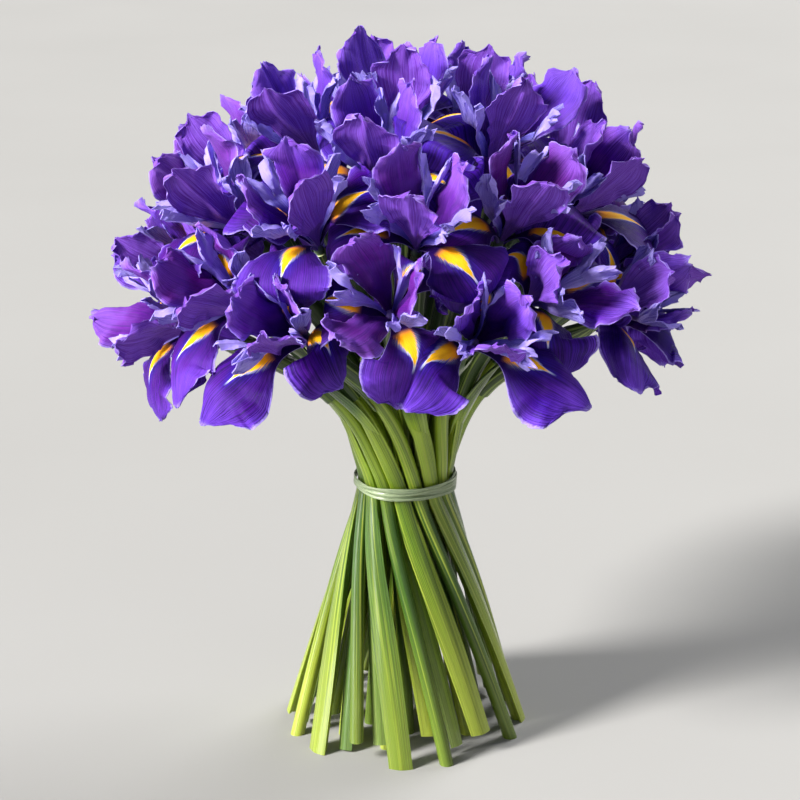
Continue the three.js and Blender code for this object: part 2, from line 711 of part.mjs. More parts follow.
function knotSolid() {
  const { width, depth, height } = KNOT;
  const knot = new THREE.CylinderGeometry(height / 2, height / 2, width, KNOT.sides).rotateZ(Math.PI / 2);
  knot.scale(1, depth / height, 1).translate(0, TIE_INNER_RADIUS + depth / 2, TIE_HEIGHT);
  return solidOf(knot);
}

// One of the knot's two loose ends, hanging from it.
function tieEndSolid(sign) {
  const { length, width, thickness, tilt, splay, lift } = LOOSE_END;
  const end = new THREE.BoxGeometry(width, thickness, length).translate(0, 0, -length / 2);
  end.rotateX(degrees(tilt)).rotateY(degrees(sign * splay));
  end.translate(sign, TIE_INNER_RADIUS + lift, TIE_HEIGHT);
  return solidOf(end);
}

function solidOf(geometry) {
  geometry.deleteAttribute("normal");
  geometry.deleteAttribute("uv");
  const merged = mergeVertices(geometry, MERGE_DISTANCE);
  return solidFrom(new Float32Array(merged.attributes.position.array), new Uint32Array(merged.index.array));
}

// Assembly

const MATERIALS = {
  petal: new THREE.MeshStandardMaterial({ name: "petal", color: 0x4a22a0, roughness: 0.55, metalness: 0 }),
  stem: new THREE.MeshStandardMaterial({ name: "stem", color: 0x6f9a34, roughness: 0.5, metalness: 0 }),
  tie: new THREE.MeshStandardMaterial({ name: "tie", color: 0x93ad72, roughness: 0.6, metalness: 0 }),
};

function solidGeometry(solid) {
  const { vertProperties, triVerts } = solid.getMesh();
  const geometry = new THREE.BufferGeometry();
  geometry.setAttribute("position", new THREE.BufferAttribute(vertProperties, 3));
  geometry.setIndex(new THREE.BufferAttribute(triVerts, 1));
  return geometry;
}

function addMesh(group, name, geometry, material) {
  geometry.computeVertexNormals();
  const mesh = new THREE.Mesh(geometry, material);
  mesh.name = name;
  group.add(mesh);
}

const twoDigits = (number) => String(number).padStart(2, "0");

const irises = layOutIrises();
settleRolls(irises);
for (const iris of irises) iris.walls = wallsOf(iris, irises);

const bunch = new THREE.Group();
bunch.name = "iris_bunch";
irises.forEach((iris, i) => {
  addMesh(bunch, `bloom_${twoDigits(i + 1)}`, bloomGeometry(iris), MATERIALS.petal);
});

const isOuter = (iris) => iris.ringIndex === RINGS.length - 1;
const innerIrises = irises.filter((iris) => !isOuter(iris));
const outerIrises = irises.filter(isOuter);
const pressedStems = wasm.Manifold.union(innerIrises.map((iris) => stemSolid(iris, false)));
addMesh(bunch, "stems_inner", solidGeometry(pressedStems), MATERIALS.stem);
outerIrises.forEach((iris, i) => {
  const leafy = i % 2 === 0;
  const stem = leafy ? stemSolid(iris, true).add(leafBlade(iris)) : stemSolid(iris, false);
  const name = leafy ? `leafy_stem_${twoDigits(i + 1)}` : `stem_${twoDigits(i + 1)}`;
  addMesh(bunch, name, solidGeometry(stem), MATERIALS.stem);
});

const tie = wasm.Manifold.union([tieSolid(), knotSolid(), tieEndSolid(-1), tieEndSolid(1)]);
addMesh(bunch, "tie", solidGeometry(tie), MATERIALS.tie);

export default bunch;
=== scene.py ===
"""The looks of a hand-tied bunch of thirty-two Dutch irises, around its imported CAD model.

Lengths are millimetres up to the meshes, which are in metres, and angles in tables are degrees. +Z is up,
and the side that the photograph shows faces -Y. The layout repeats the CAD's own.
"""

from math import atan, atan2, ceil, cos, hypot, pi, radians, sin, tan
from types import SimpleNamespace as Values

import bpy
import numpy as np
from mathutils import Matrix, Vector
from numpy.linalg import norm


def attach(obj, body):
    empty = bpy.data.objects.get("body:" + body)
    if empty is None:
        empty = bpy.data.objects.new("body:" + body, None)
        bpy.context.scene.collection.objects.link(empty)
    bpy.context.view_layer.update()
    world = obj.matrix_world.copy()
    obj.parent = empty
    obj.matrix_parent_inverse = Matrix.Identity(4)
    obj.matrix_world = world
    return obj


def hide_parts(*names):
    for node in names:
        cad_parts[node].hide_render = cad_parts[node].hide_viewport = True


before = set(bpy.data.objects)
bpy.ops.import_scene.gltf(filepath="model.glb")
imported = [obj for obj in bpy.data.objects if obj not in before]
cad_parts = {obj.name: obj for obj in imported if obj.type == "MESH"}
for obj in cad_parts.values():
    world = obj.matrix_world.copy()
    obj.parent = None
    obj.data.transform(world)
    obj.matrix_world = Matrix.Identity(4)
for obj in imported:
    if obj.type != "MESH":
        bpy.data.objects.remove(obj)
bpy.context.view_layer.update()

MM = 0.001
UP = np.array([0.0, 0, 1])
ROUND = 2 * pi
FRONT = -90
SEEDS = Values(layout=7, tint=3, petals=11, stems=17, blades=23, tie=5)

# Layout, with the CAD's values

TIE_HEIGHT = 151
WALL_MARGIN = 1.1
MIDRIB_MARGIN = 5
ROOT_SHARE = 0.7
WALK_STEP = 3
MIDRIB_TURNS = (8, 6, False)
TURNING_LEAN = 70
CROWDED_LENGTH = 0.92
OUTER_LENGTH = 0.91
OUTER_WIDTH = 0.99
SHORTEST_STEP = 1.2
AXIS_ROOM = 17
CROWD = Values(height=20, shut=20, open=34)
GAP = Values(starts=30, wide=42, ends=75, nothing=100)
FOCUS = np.array([0.0, 0, 190])
# Rings of blooms: how many, angle from upright, distance from FOCUS, the stems' radius in the tie, turn.
RINGS = [(1, 0, 148, 0, 0), (5, 19, 146, 7.5, -16), (10, 37, 142, 14.9, 2), (16, 54, 134, 23.3, -4)]
LOWER_POLAR, LOWER_REACH = 7, -9
JITTER = Values(azimuth=0.1, polar=1.8, reach=6, opening=0.14)
# Blooms where the photograph has them: (ring, slot) to azimuth, angle from upright and roll.
PLACED = {
    (2, 0): (-86, 36, 36), (2, 1): (-53, 35, None), (2, 9): (-120, 38, 8), (2, 8): (-156, 39, 0),
    (3, 0): (-94, 51, 27), (3, 1): (-72, 57, 50), (3, 2): (-52, 50, -30), (3, 15): (-118, 57, -37),
}
WALL_HEIGHT = 34
WALL_SHIFT = 16
WALL_LEAN = 17
STEM_ROOM = 9
STEM_ROOM_DEPTH = 12
NEIGHBOUR_REACH = 105
WALL_TRIES = 12
WALL_RETREAT = 0.85
ROLL_SWEEPS = 12
HANG_DOWN = 0.35
FOOT_TURN = radians(50)
HEAD_TURN = radians(42)
TURN_LENGTH = 70
OPENING = 0.0132
OPENING_LENGTH = 8
NECK_HEIGHT = TIE_HEIGHT + 26
HEAD_TURN_HEIGHT = 86
SEAT_GAP = 0.3
NECK_PULL = 0.4
SHORT_STEMS = 14
HUB_RADIUS = 2.6
HUB_LEVELS = [0, 3.6, 6, 8.2, 10.4]


def unit(v):
    return v / np.maximum(norm(v, axis=-1, keepdims=True), 1e-9)


def eased(pairs, position):
    """A smooth curve through (position, value) pairs, flat at each of them."""
    places, values = (np.array(column, float) for column in zip(*pairs))
    i = np.clip(np.searchsorted(places, position, side="right"), 1, len(places) - 1)
    t = np.clip((position - places[i - 1]) / (places[i] - places[i - 1]), 0, 1)
    return values[i - 1] + (values[i] - values[i - 1]) * t * t * (3 - 2 * t)


def straight(pairs, position):
    """Straight lines through (position, value) pairs."""
    return np.interp(position, *zip(*pairs))


def smoothstep(x, low, high):
    t = np.clip((x - low) / (high - low), 0, 1)
    return t * t * (3 - 2 * t)


def joined(*arrays):
    return np.concatenate(arrays)


def full_turn(count):
    return np.linspace(0, ROUND, count, endpoint=False)


def rim_of(angles, out, side):
    """Points round a unit circle, from out to side."""
    return np.cos(angles)[:, None] * out + np.sin(angles)[:, None] * side


def seeded_draw(seed):
    """The CAD source's own random numbers, from -1 to 1."""
    state = [seed]

    def draw():
        state[0] = state[0] * 16807 % 2147483647
        return 2 * state[0] / 2147483647 - 1

    return draw


def lay_out_irises():
    draw = seeded_draw(SEEDS.layout)
    irises = []
    for ring, slot in [(ring, slot) for ring, row in enumerate(RINGS) for slot in range(row[0])]:
        count, polar, reach, tie_radius, turn = RINGS[ring]
        outer = ring == len(RINGS) - 1
        lower = outer and slot % 2 == 1
        spread = 1 if ring else 0
        azimuth = FRONT + turn + 360 / count * (slot + spread * JITTER.azimuth * draw())
        lean = polar + (LOWER_POLAR if lower else 0) + spread * JITTER.polar * draw()
        roll = None
        if (ring, slot) in PLACED:
            azimuth, lean, roll = PLACED[ring, slot]
        far = reach + (LOWER_REACH if lower else 0) + JITTER.reach * draw()
        azimuth, lean = radians(azimuth), radians(lean)
        outward = np.array([cos(azimuth), sin(azimuth), 0])
        axis = UP * cos(lean) + outward * sin(lean)
        down = unit(outward - axis * outward.dot(axis))
        foot = FOCUS + axis * far
        irises.append(Values(
            number=len(irises), ring=ring, slot=slot, outer=outer, axis=axis, down=down, foot=foot,
            hang=0 if not outer else HANG_DOWN if lower else -HANG_DOWN, side=np.cross(axis, down),
            tie_radius=tie_radius, tie_angle=radians(FRONT + turn + 360 / count * slot) + HEAD_TURN,
            throat=foot - axis * STEM_ROOM_DEPTH, middle=foot + axis * WALL_HEIGHT,
            opening=1 + JITTER.opening * draw(), roll=radians(roll or 0), settled=roll is not None,
            cut_height=SHORT_STEMS * abs(draw()) if ring and slot % 3 == 2 else 0,
        ))
    return irises


def bearing(iris, other):
    across = other.middle - iris.middle
    return atan2(across.dot(iris.side), across.dot(iris.down))


def fall_towards(iris, other):
    """1 where a bloom's fall points at another bloom, and -1 where a gap between two falls does."""
    return cos(3 * (iris.roll - bearing(iris, other)))


def apart(iris, other):
    return norm(other.middle - iris.middle)


def settle_rolls(irises):
    """Rolls each bloom so that its falls point between its neighbours' falls."""
    for _ in range(ROLL_SWEEPS):
        for iris in irises:
            if iris.settled:
                continue
            cosine, sine = iris.hang, 0.0
            for other in iris.neighbours:
                nearness = (1 - apart(iris, other) / NEIGHBOUR_REACH) ** 2
                pull = nearness * fall_towards(other, iris)
                cosine += pull * cos(3 * bearing(iris, other))
                sine += pull * sin(3 * bearing(iris, other))
            iris.roll = (atan2(sine, cosine) + pi) / 3


def walls_of(iris):
    """The walls round a bloom's share of the head: normal, offset and the way its wave goes."""
    walls = []
    for other in iris.neighbours:
        across = unit(other.middle - iris.middle)
        outward = iris.axis + other.axis
        outward = unit(outward - across * outward.dot(across))
        halfway = (iris.middle + other.middle) / 2
        weight = (fall_towards(iris, other) - fall_towards(other, iris)) / 2
        for _ in range(WALL_TRIES + 1):
            lean = radians(WALL_LEAN) * weight
            normal = across * cos(lean) + outward * sin(lean)
            offset = normal.dot(halfway + across * WALL_SHIFT * weight)
            if min(offset - normal.dot(iris.throat), normal.dot(other.throat) - offset) > STEM_ROOM:
                break
            weight *= WALL_RETREAT
        walls.append((normal, offset, 1 if iris.number < other.number else -1))
    return walls


# Petals: where each one lies
#
# A kind's slot is its material, and its level is its storey on the tube. Leans are angles from the bloom's
# axis along the petal: crowded by a neighbour, with room, and beside a gap. over is its reach past a wall
# and growth its gain beside a gap, for the inner rings and for the outer one. waves are (how many there are
# round the blade, how high).

FALL = Values(
    slot=0, level=1, length=75,
    leans=(
        [(0, 18), (0.2, 32), (0.4, 56), (0.6, 82), (0.8, 100), (1, 118)],
        [(0, 22), (0.16, 42), (0.36, 66), (0.62, 106), (1, 140)],
        [(0, 24), (0.16, 48), (0.36, 68), (0.62, 84), (1, 102)],
    ),
    sector=None, margin=-1, over=(23, 8), growth=(0.34, 0.1), rows=38, columns=29,
    widths=[
        (0, 1.5), (0.1, 2.8), (0.2, 4.4), (0.3, 7), (0.37, 12.5), (0.43, 18.5), (0.5, 24), (0.58, 27.2),
        (0.67, 28), (0.76, 27), (0.83, 24.5), (0.89, 20.6), (0.94, 16), (0.97, 12), (1, 5),
    ],
    curl=(3, -16), round_tip=3, thickness=0.5,
    ruffle=Values(middle=0.66, start=0.36, size=1.5, waves=((6, 1), (11, 0.7), (21, 0.35), (39, 0.2))),
)
STANDARD = Values(
    slot=1, level=2, length=64,
    leans=(
        [(0, 10), (0.3, 22), (0.65, 16), (1, 0)],
        [(0, 11), (0.3, 25), (0.65, 16), (1, -4)],
        [(0, 16), (0.3, 40), (0.65, 44), (1, 32)],
    ),
    sector=Values(angle=36, ease=5), margin=2, over=(2, 2), growth=(0.16, 0.1), rows=30, columns=23,
    widths=[
        (0, 1.4), (0.15, 3), (0.3, 6.4), (0.45, 11.4), (0.58, 15), (0.7, 17), (0.8, 17), (0.89, 14.2),
        (0.96, 9.6), (1, 3.5),
    ],
    curl=(20, -34), round_tip=3, thickness=0.5,
    ruffle=Values(middle=0.7, start=0.3, size=1.5, waves=((4, 1.2), (8, 0.8), (17, 0.35), (33, 0.2))),
)
STYLE_ARM = Values(
    slot=2, level=3, length=30,
    leans=(
        [(0, 6), (0.5, 24), (1, 36)],
        [(0, 8), (0.5, 36), (1, 52)],
        [(0, 8), (0.5, 38), (1, 55)],
    ),
    sector=Values(angle=24, ease=1), margin=5, over=(0, 0), growth=(0.1, 0.1), rows=11, columns=17,
    widths=[(0, 1.4), (0.3, 3.6), (0.6, 5.8), (1, 7.2)], curl=(-4, -40), round_tip=0, thickness=0.6,
    ruffle=Values(middle=0.7, start=0.5, size=0.4, waves=((4, 1), (9, 0.6))),
)
CREST = Values(
    length=18, lean=12, splay=17, back=(0.12, 0.4), rows=12,
    widths=((0, 1), (0.35, 1.45), (0.7, 1.7), (1, 1.2)), tooth=1.9, bow=0.2, frill=2.4, frills=12,
    margin=0.3,
)
FINE_MARGIN = 0.7
SIDE_TURNS = (7, 3, True)
WAVE_HEIGHT = 4.5
PASSES = Values(middle=5, widths=2, sides=4)
EDGE_CROWDING = 0.35
FOLDED = (-6, 16)
DRIFT = (-6, 6)
TIP_STARTS = 0.78
RUFFLE = Values(squeeze=0.9, reach=1.15, power=2.6, before=0.12, after=0.15, uneven=0.4)
KEEL = Values(height=0.7, width=2.2, starts=(0.1, 0.3), ends=(0.5, 0.75))
TEETH = (-0.3, 0.4)
TEETH_START = (0.3, 0.5)
RIM_THINNING = 0.45
ROOT = Values(thickness=1.2, length=0.15)
SPAN_UNIT = 10


def leaning(way, lean):
    return way.out * sin(radians(lean)) + way.axis * cos(radians(lean))


def wave(points):
    """How far the walls swell at a place, the same seen from both sides."""
    x, y, z = np.moveaxis(points, -1, 0)
    return WAVE_HEIGHT * (
        np.sin(0.11 * x + 0.05 * y - 0.07 * z)
        + np.sin(0.06 * x - 0.13 * y + 0.1 * z + 2)
        + np.sin(0.19 * z + 0.08 * x + 4) * 0.7
    ) / 2


class Walls:
    """Walls for many points: how near one turns a step, in how many turns, and whether it is waved."""

    def __init__(self, walls, soft, turns, waved):
        self.normals, self.offsets, self.swells = (np.array(column) for column in zip(*walls))
        self.soft, self.turns, self.waved = soft, turns, waved

    def room(self, points, margin):
        reach = self.offsets + self.waved * self.swells * wave(points)[..., None]
        return np.maximum(reach - points @ self.normals.T - margin, 0)

    def straight(self, points, directions, lengths, margin):
        """Steps that stop at the first wall."""
        outgoing = directions @ self.normals.T
        limits = np.where(outgoing > 1e-6, self.room(points, margin) / np.maximum(outgoing, 1e-6), np.inf)
        return points + directions * np.minimum(lengths, limits.min(1))[:, None]

    def step(self, points, directions, lengths, margin, easier):
        """Steps that turn along near walls towards the easier side."""
        weights = np.clip(1 - self.room(points, margin) / self.soft, 0, 1)
        turned = directions.copy()
        for _ in range(self.turns):
            for k in np.flatnonzero(weights.any(0)):
                normal = self.normals[k]
                lost = (np.maximum(turned @ normal, 0) * weights[:, k])[:, None]
                turned += lost * (easier - normal * (1 + (easier @ normal)[:, None]))
            turned = unit(turned)
        return self.straight(points, turned, lengths, margin)

    def keep_in(self, points, margin):
        for k, normal in enumerate(self.normals):
            over = points @ normal + margin - self.offsets[k] - self.swells[k] * wave(points)
            points = points - np.maximum(over, 0)[..., None] * normal
        return points


def freedom(iris, way):
    """How a petal opens: 0 where a neighbour is close, 1 where there is room, 2 across a gap."""
    start = (iris.foot + way.axis * CROWD.height)[None]
    end = Walls(iris.walls, *MIDRIB_TURNS).straight(start, way.out[None], GAP.nothing, WALL_MARGIN)
    room = norm(end - start)
    gap = smoothstep(room, GAP.starts, GAP.wide) * (1 - smoothstep(room, GAP.ends, GAP.nothing))
    return smoothstep(room, CROWD.shut, CROWD.open) + gap


def sector_walls(iris, way, sector):
    """Walls that keep an inner petal to its own side of the bloom."""
    angle = radians(sector.angle)
    normals = [way.side * sign * cos(angle) - way.out * sin(angle) for sign in (-1, 1)]
    return [(normal, normal.dot(iris.foot) + sector.ease, 0) for normal in normals]


def midrib_of(iris, way, kind, free, growth):
    """The line of a petal's midrib, walked from the tube outwards."""
    length = kind.length * (OUTER_LENGTH if iris.outer else 1)
    if kind is FALL:
        length *= CROWDED_LENGTH + (1 - CROWDED_LENGTH) * min(free, 1)
    steps = ceil(length * growth / WALK_STEP)
    height = (HUB_LEVELS[kind.level] + HUB_LEVELS[kind.level + 1]) / 2
    points = (iris.foot + way.axis * height + way.out * HUB_RADIUS * cos(pi / 6))[None]
    walls = Walls(iris.walls, *MIDRIB_TURNS)
    root_room = walls.room(points, 0).min()
    margin = min(MIDRIB_MARGIN + kind.margin - kind.over[iris.outer], ROOT_SHARE * root_room)
    for i in range(steps):
        leans = [eased(lean, (i + 0.5) / steps) for lean in kind.leans]
        lean = iris.opening * np.interp(free, (0, 1, 2), leans)
        ahead = leaning(way, lean)[None]
        easier = way.axis[None] * (-1 if lean > TURNING_LEAN else 1)
        point = walls.step(points[i:], ahead, length * growth / steps, margin, easier)
        step = point - points[i]
        stalls = norm(step) < SHORTEST_STEP
        returns = step @ way.out < 0 and (point - iris.foot) @ way.out < AXIS_ROOM
        if i > 1 and (stalls or returns):
            break
        if stalls:
            point = walls.straight(points[i:], ahead, SHORTEST_STEP, 0)
        points = joined(points, point)
    return points


def smoothed(rows, passes):
    rows = rows.copy()
    for _ in range(passes):
        rows[1:-1] = rows[1:-1] / 2 + (rows[:-2] + rows[2:]) / 4
    return rows


def grid_normals(grid):
    return unit(np.cross(*np.gradient(grid, axis=(0, 1))))


def grid_faces(rows, columns):
    a = (np.arange(rows - 1)[:, None] * columns + np.arange(columns - 1)).ravel()
    c = a + columns + 1
    return joined(np.stack([a, a + columns, c], 1), np.stack([a, c, a + 1], 1))


def grid_coords(along, across, depth=0.0):
    """The coordinates that a grid's colours follow, from its rows and columns."""
    return np.stack(np.broadcast_arrays(along[:, None], across[None], depth), 2)


def petal_grid(iris, way, kind, draw):
    """A petal's middle surface, with rows along it, and its colours' coordinates."""
    free = freedom(iris, way)
    growth = 1 + kind.growth[iris.outer] * max(free - 1, 0)
    midrib = midrib_of(iris, way, kind, free, growth)
    shares = np.linspace(0, 1, kind.rows)
    index = shares * (len(midrib) - 1)
    middle = np.stack([np.interp(index, np.arange(len(midrib)), midrib[:, k]) for k in range(3)], 1)
    middle = smoothed(middle, PASSES.middle)
    along = unit(np.gradient(middle, axis=0))
    widths = smoothed(straight(kind.widths, shares), PASSES.widths) * growth
    widths *= OUTER_WIDTH if iris.outer else 1
    half = kind.columns // 2
    even = np.arange(half + 1) / half
    places = (1 - EDGE_CROWDING) * even + EDGE_CROWDING * np.sin(even * pi / 2)
    across = joined(-places[:0:-1], places)
    walls = iris.walls + (sector_walls(iris, way, kind.sector) if kind.sector else [])
    walls = Walls(walls, *SIDE_TURNS)
    over = kind.over[iris.outer]
    sideways = unit(way.side - along * (along @ way.side)[:, None])
    upper = np.cross(along, sideways)
    grid = side_walk(middle, sideways, upper, widths, places, walls, over, kind, draw)
    grid = middle[:, None] + smoothed(grid - middle[:, None], PASSES.sides)
    tip = smoothstep(shares, TIP_STARTS, 1)[:, None] * across**2 * kind.round_tip
    grid -= along[:, None] * tip[..., None]
    span = norm(grid - middle[:, None], axis=2)
    grid = grid + grid_normals(grid) * lift_of(kind, shares, across, widths, draw)[..., None]
    grid = walls.keep_in(serrated(grid, kind, draw), FINE_MARGIN / 2 - over)
    return grid, grid_coords(shares, across, span / SPAN_UNIT), walls


def side_walk(middle, sideways, upper, widths, places, walls, over, kind, draw):
    """Columns that go out from a petal's midrib to both sides."""
    half = len(places) - 1
    grid = np.empty((kind.rows, kind.columns, 3))
    grid[:, half] = middle
    folded = 0 if kind is FALL else draw.uniform(*FOLDED)
    for sign in (-1, 1):
        point = middle
        drift = radians(draw.uniform(*DRIFT) + folded)
        back = -1 if kind is FALL or draw.random() < 0.5 else 1
        for j in range(1, half + 1):
            bend = np.radians(kind.curl[0] + (kind.curl[1] - kind.curl[0]) * places[j]) + drift
            direction = sideways * sign * cos(bend) + upper * sin(bend)
            lengths = (places[j] - places[j - 1]) * widths
            point = walls.step(point, direction, lengths, FINE_MARGIN - over, back * upper)
            grid[:, half + sign * j] = point
    return grid


def lift_of(kind, shares, across, widths, draw):
    """How far a petal rises in the waves of its edge and in the keel of a fall."""
    ruffle = kind.ruffle
    aside = across * widths[:, None]
    forward = ((shares - ruffle.middle) * kind.length)[:, None]
    angle = np.arctan2(aside, forward)
    reach = np.hypot(aside, forward * RUFFLE.squeeze) / widths.max()
    height = 0
    for count, size in ruffle.waves:
        waves = size * np.sin(count * angle + draw.uniform(0, ROUND))
        height = height + waves * (1 + RUFFLE.uneven * np.sin(2 * angle + draw.uniform(0, 6)))
    edge = np.clip(reach, 0, RUFFLE.reach) ** RUFFLE.power
    edge = edge * smoothstep(shares, ruffle.start - RUFFLE.before, ruffle.start + RUFFLE.after)[:, None]
    lift = ruffle.size * height * edge
    if kind is FALL:
        keeled = smoothstep(shares, *KEEL.starts) * (1 - smoothstep(shares, *KEEL.ends))
        lift = lift + KEEL.height * np.exp(-((aside / KEEL.width) ** 2)) * keeled[:, None]
    return lift


def serrated(grid, kind, draw):
    """Fine teeth along a petal's edge, from where its blade starts."""
    grid = grid.copy()
    bladed = smoothstep(np.linspace(0, 1, kind.rows), *TEETH_START)
    for edge, inner in ((0, 1), (-1, -2)):
        teeth = draw.uniform(*TEETH, kind.rows) * bladed
        grid[:, edge] += (grid[:, edge] - grid[:, inner]) * teeth[:, None]
    teeth = draw.uniform(*TEETH, kind.columns)
    grid[-1] += (grid[-1] - grid[-2]) * teeth[:, None]
    return grid


def thickened(points, faces, normals, thickness):
    """Both sides of a thin sheet and its edges. The normals look out of its upper side."""
    count = len(points)
    edges = joined(faces[:, [0, 1]], faces[:, [1, 2]], faces[:, [2, 0]])
    rim = edges[~np.isin(edges[:, 0] * count + edges[:, 1], edges[:, 1] * count + edges[:, 0])]
    a, b = rim.T
    sides = [np.stack([b, a, a + count], 1), np.stack([b, a + count, b + count], 1)]
    half = normals * thickness[:, None] / 2
    both = joined(points + half, points - half)
    return both, joined(faces, faces[:, ::-1] + count, *sides)


def part_of(points, faces, slots, coords, tint):
    """A closed part of a piece. One slot or tint may serve all over."""
    slots, tint = np.broadcast_to(slots, len(faces)), np.broadcast_to(tint, points.shape)
    return Values(points=points, faces=faces, slots=slots, coords=coords, tint=tint)


def petal_part(iris, side, kind, draw):
    """One petal as a closed sheet. side counts the bloom's six directions."""
    angle = iris.roll + side * pi / 3
    out = iris.down * cos(angle) + iris.side * sin(angle)
    way = Values(axis=iris.axis, out=out, side=np.cross(iris.axis, out))
    grid, colours, walls = petal_grid(iris, way, kind, draw)
    points, colours = grid.reshape(-1, 3), colours.reshape(-1, 3)
    normals = grid_normals(grid).reshape(-1, 3)
    faces = grid_faces(kind.rows, kind.columns)
    if kind is STYLE_ARM:
        points, normals, faces, colours = with_crest(way, walls, points, normals, faces, colours, draw)
    thickness = kind.thickness * (1 - RIM_THINNING * colours[:, 1] ** 4)
    thickness = thickness + ROOT.thickness * (1 - smoothstep(colours[:, 0], 0, ROOT.length))
    points, faces = thickened(points, faces, normals, thickness)
    own = draw.random()
    tint = np.repeat([(1, own, iris.tint), (0, own, iris.tint)], len(colours), 0)
    return part_of(points, faces, kind.slot, np.tile(colours, (2, 1)), tint)


def with_crest(way, walls, points, normals, faces, colours, draw):
    """Adds a style arm's two upturned lobes, each from one half of its last row."""
    half = STYLE_ARM.columns // 2
    last = (STYLE_ARM.rows - 1) * STYLE_ARM.columns
    across = np.linspace(-1, 1, half + 1)
    shares = np.linspace(0, 1, CREST.rows)[1:]
    for sign, first in ((-1, 0), (1, half)):
        base = np.arange(first, first + half + 1) + last
        start = points[base]
        centre = start.mean(0)
        direction = unit(leaning(way, CREST.lean) + way.side * sign * tan(radians(CREST.splay)))
        back = draw.uniform(*CREST.back)
        lobe = [start]
        for share in shares:
            tooth = draw.uniform(-1, 1, (half + 1, 1)) * share**3 * CREST.tooth
            bow = (across**2)[:, None] * share**2 * CREST.length * CREST.bow
            frill = CREST.frill * share * np.sin(np.linspace(0, CREST.frills, half + 1) + 4 * share + sign)
            row = centre + (start - centre) * straight(CREST.widths, share)
            row = row + (direction * share + way.out * back * share**2) * CREST.length
            lobe.append(row + direction * (tooth - bow) + way.out * frill[:, None])
        lobe = walls.keep_in(np.array(lobe), CREST.margin)
        index = joined(base, len(points) + np.arange(len(shares) * (half + 1)))
        points = joined(points, lobe[1:].reshape(-1, 3))
        normals = joined(normals, grid_normals(lobe)[1:].reshape(-1, 3))
        faces = joined(faces, index[grid_faces(CREST.rows, half + 1)])
        lobe_colours = grid_coords(1 + shares, across, 0.4 * across)
        colours = joined(colours, lobe_colours.reshape(-1, 3))
    return points, normals, faces, colours


def tube_part(rings, coords, tint, slot=0, end_slot=0, closed=False):
    """A column through rings of points that turn left seen from its end, or a closed one."""
    storeys, count = rings.shape[:2]
    points, coords = rings.reshape(-1, 3), coords.reshape(-1, 3)
    i = np.arange(count)
    j = (i + 1) % count
    floors = np.arange(storeys if closed else storeys - 1)[:, None] * count
    above = (floors + count) % len(points)
    a, b, c, d = ((floor + k).ravel() for floor in (floors, above) for k in (i, j))
    faces = [np.stack([a, b, d], 1), np.stack([a, d, c], 1)]
    slots = np.full(2 * len(a), slot)
    if not closed:
        low = np.full(count, len(points))
        top = len(points) - count
        faces += [np.stack([low, j, i], 1), np.stack([low + 1, top + i, top + j], 1)]
        slots = joined(slots, np.full(2 * count, end_slot))
        points = joined(points, rings[[0, -1]].mean(1))
        ends = np.stack([coords[:count].mean(0), coords[-count:].mean(0)])
        coords = joined(coords, ends)
    return part_of(points, np.concatenate(faces), slots, coords, tint)


HUB_SLOT = 3
HUB_SIDES = 12
HUB = np.array([(-2, 2.6), (0, 2.7), (3.6, 2.9), (6, 3), (8.2, 2.9), (10.4, 2.6), (12, 1.4)])


def hub_part(iris):
    """The perianth tube that a bloom's petals grow from."""
    heights, radii = HUB.T
    rim = rim_of(full_turn(HUB_SIDES), iris.down, iris.side)
    rings = iris.foot + heights[:, None, None] * iris.axis + radii[:, None, None] * rim
    coords = grid_coords(heights / heights[-1], np.zeros(HUB_SIDES))
    return tube_part(rings, coords, [1, 0.5, iris.tint], HUB_SLOT, HUB_SLOT)


# Stems, bracts and leaves

CUT_SLOT, LEAF_SLOT = 1, 2
COLOUR_LENGTH = 400
STEM_STEPS = 22
NECK_STEPS = 18
STEM_SIDES = 16
STEM_RADII = [(0, 4.0), (120, 3.9), (151, 4.0), (177, 4.0)]
NECK_RADII = [(0, 4.0), (0.35, 4), (0.68, 4.5), (0.86, 5.2), (1, 3.4)]
SHEATH = Values(
    widths=[(0, 6.8), (60, 7.2), (118, 5.8), (151, 4.4), (177, 5)], neck_width=0.9, columns=13,
    edge=0.55, power=1.6, thickness=0.7, narrowing=0.985, back=(86, 274, 9),
)
# reaches is where on the neck each bract starts, and how far beyond the bloom's foot it ends.
BRACT = Values(
    reaches=((0.42, 3), (0.3, 5)), rows=18, columns=9, leaves=0.94, wrap=105,
    wraps=[(0, 1), (0.6, 1), (0.85, 0.75), (0.95, 0.35), (1, 0.04)], clearance=0.55, apart=0.35,
    flare=0.9, keel=0.1, thickness=0.45,
)
LEAF = Values(
    rows=26, columns=9, lift=[(0.02, 1), (0.2, 5.5), (0.42, 10), (0.7, 13)],
    widths=[(0.02, 3.2), (0.12, 5.2), (0.25, 6.4), (0.42, 5.6), (0.58, 3.2), (0.7, 0.4)],
    fold_power=1.3, thickness=0.8,
)
BLADE = Values(
    rows=24, columns=7, tie_radius=20.8, foot=(1, 9), top=TIE_HEIGHT + 13, twist=(-0.5, 0.5),
    widths=[(0, 4), (60, 4.4), (110, 3.4), (145, 1.5), (164, 0.5)], fold_power=1.2, thickness=0.6,
    skipped=(3, 6, 9, 12),
)
FOLD = 0.35


def spiral_point(radius, angle, height):
    """A point of a stem's line, which is nearest the middle in the tie and turns all the way."""
    above = height - TIE_HEIGHT
    turn, full = (FOOT_TURN, TIE_HEIGHT) if above < 0 else (HEAD_TURN, HEAD_TURN_HEIGHT)
    turned = angle - turn * atan(above / TURN_LENGTH) / atan(full / TURN_LENGTH)
    opened = radius * (1 + OPENING * (hypot(above, OPENING_LENGTH) - OPENING_LENGTH))
    return np.array([opened * cos(turned), opened * sin(turned), height])


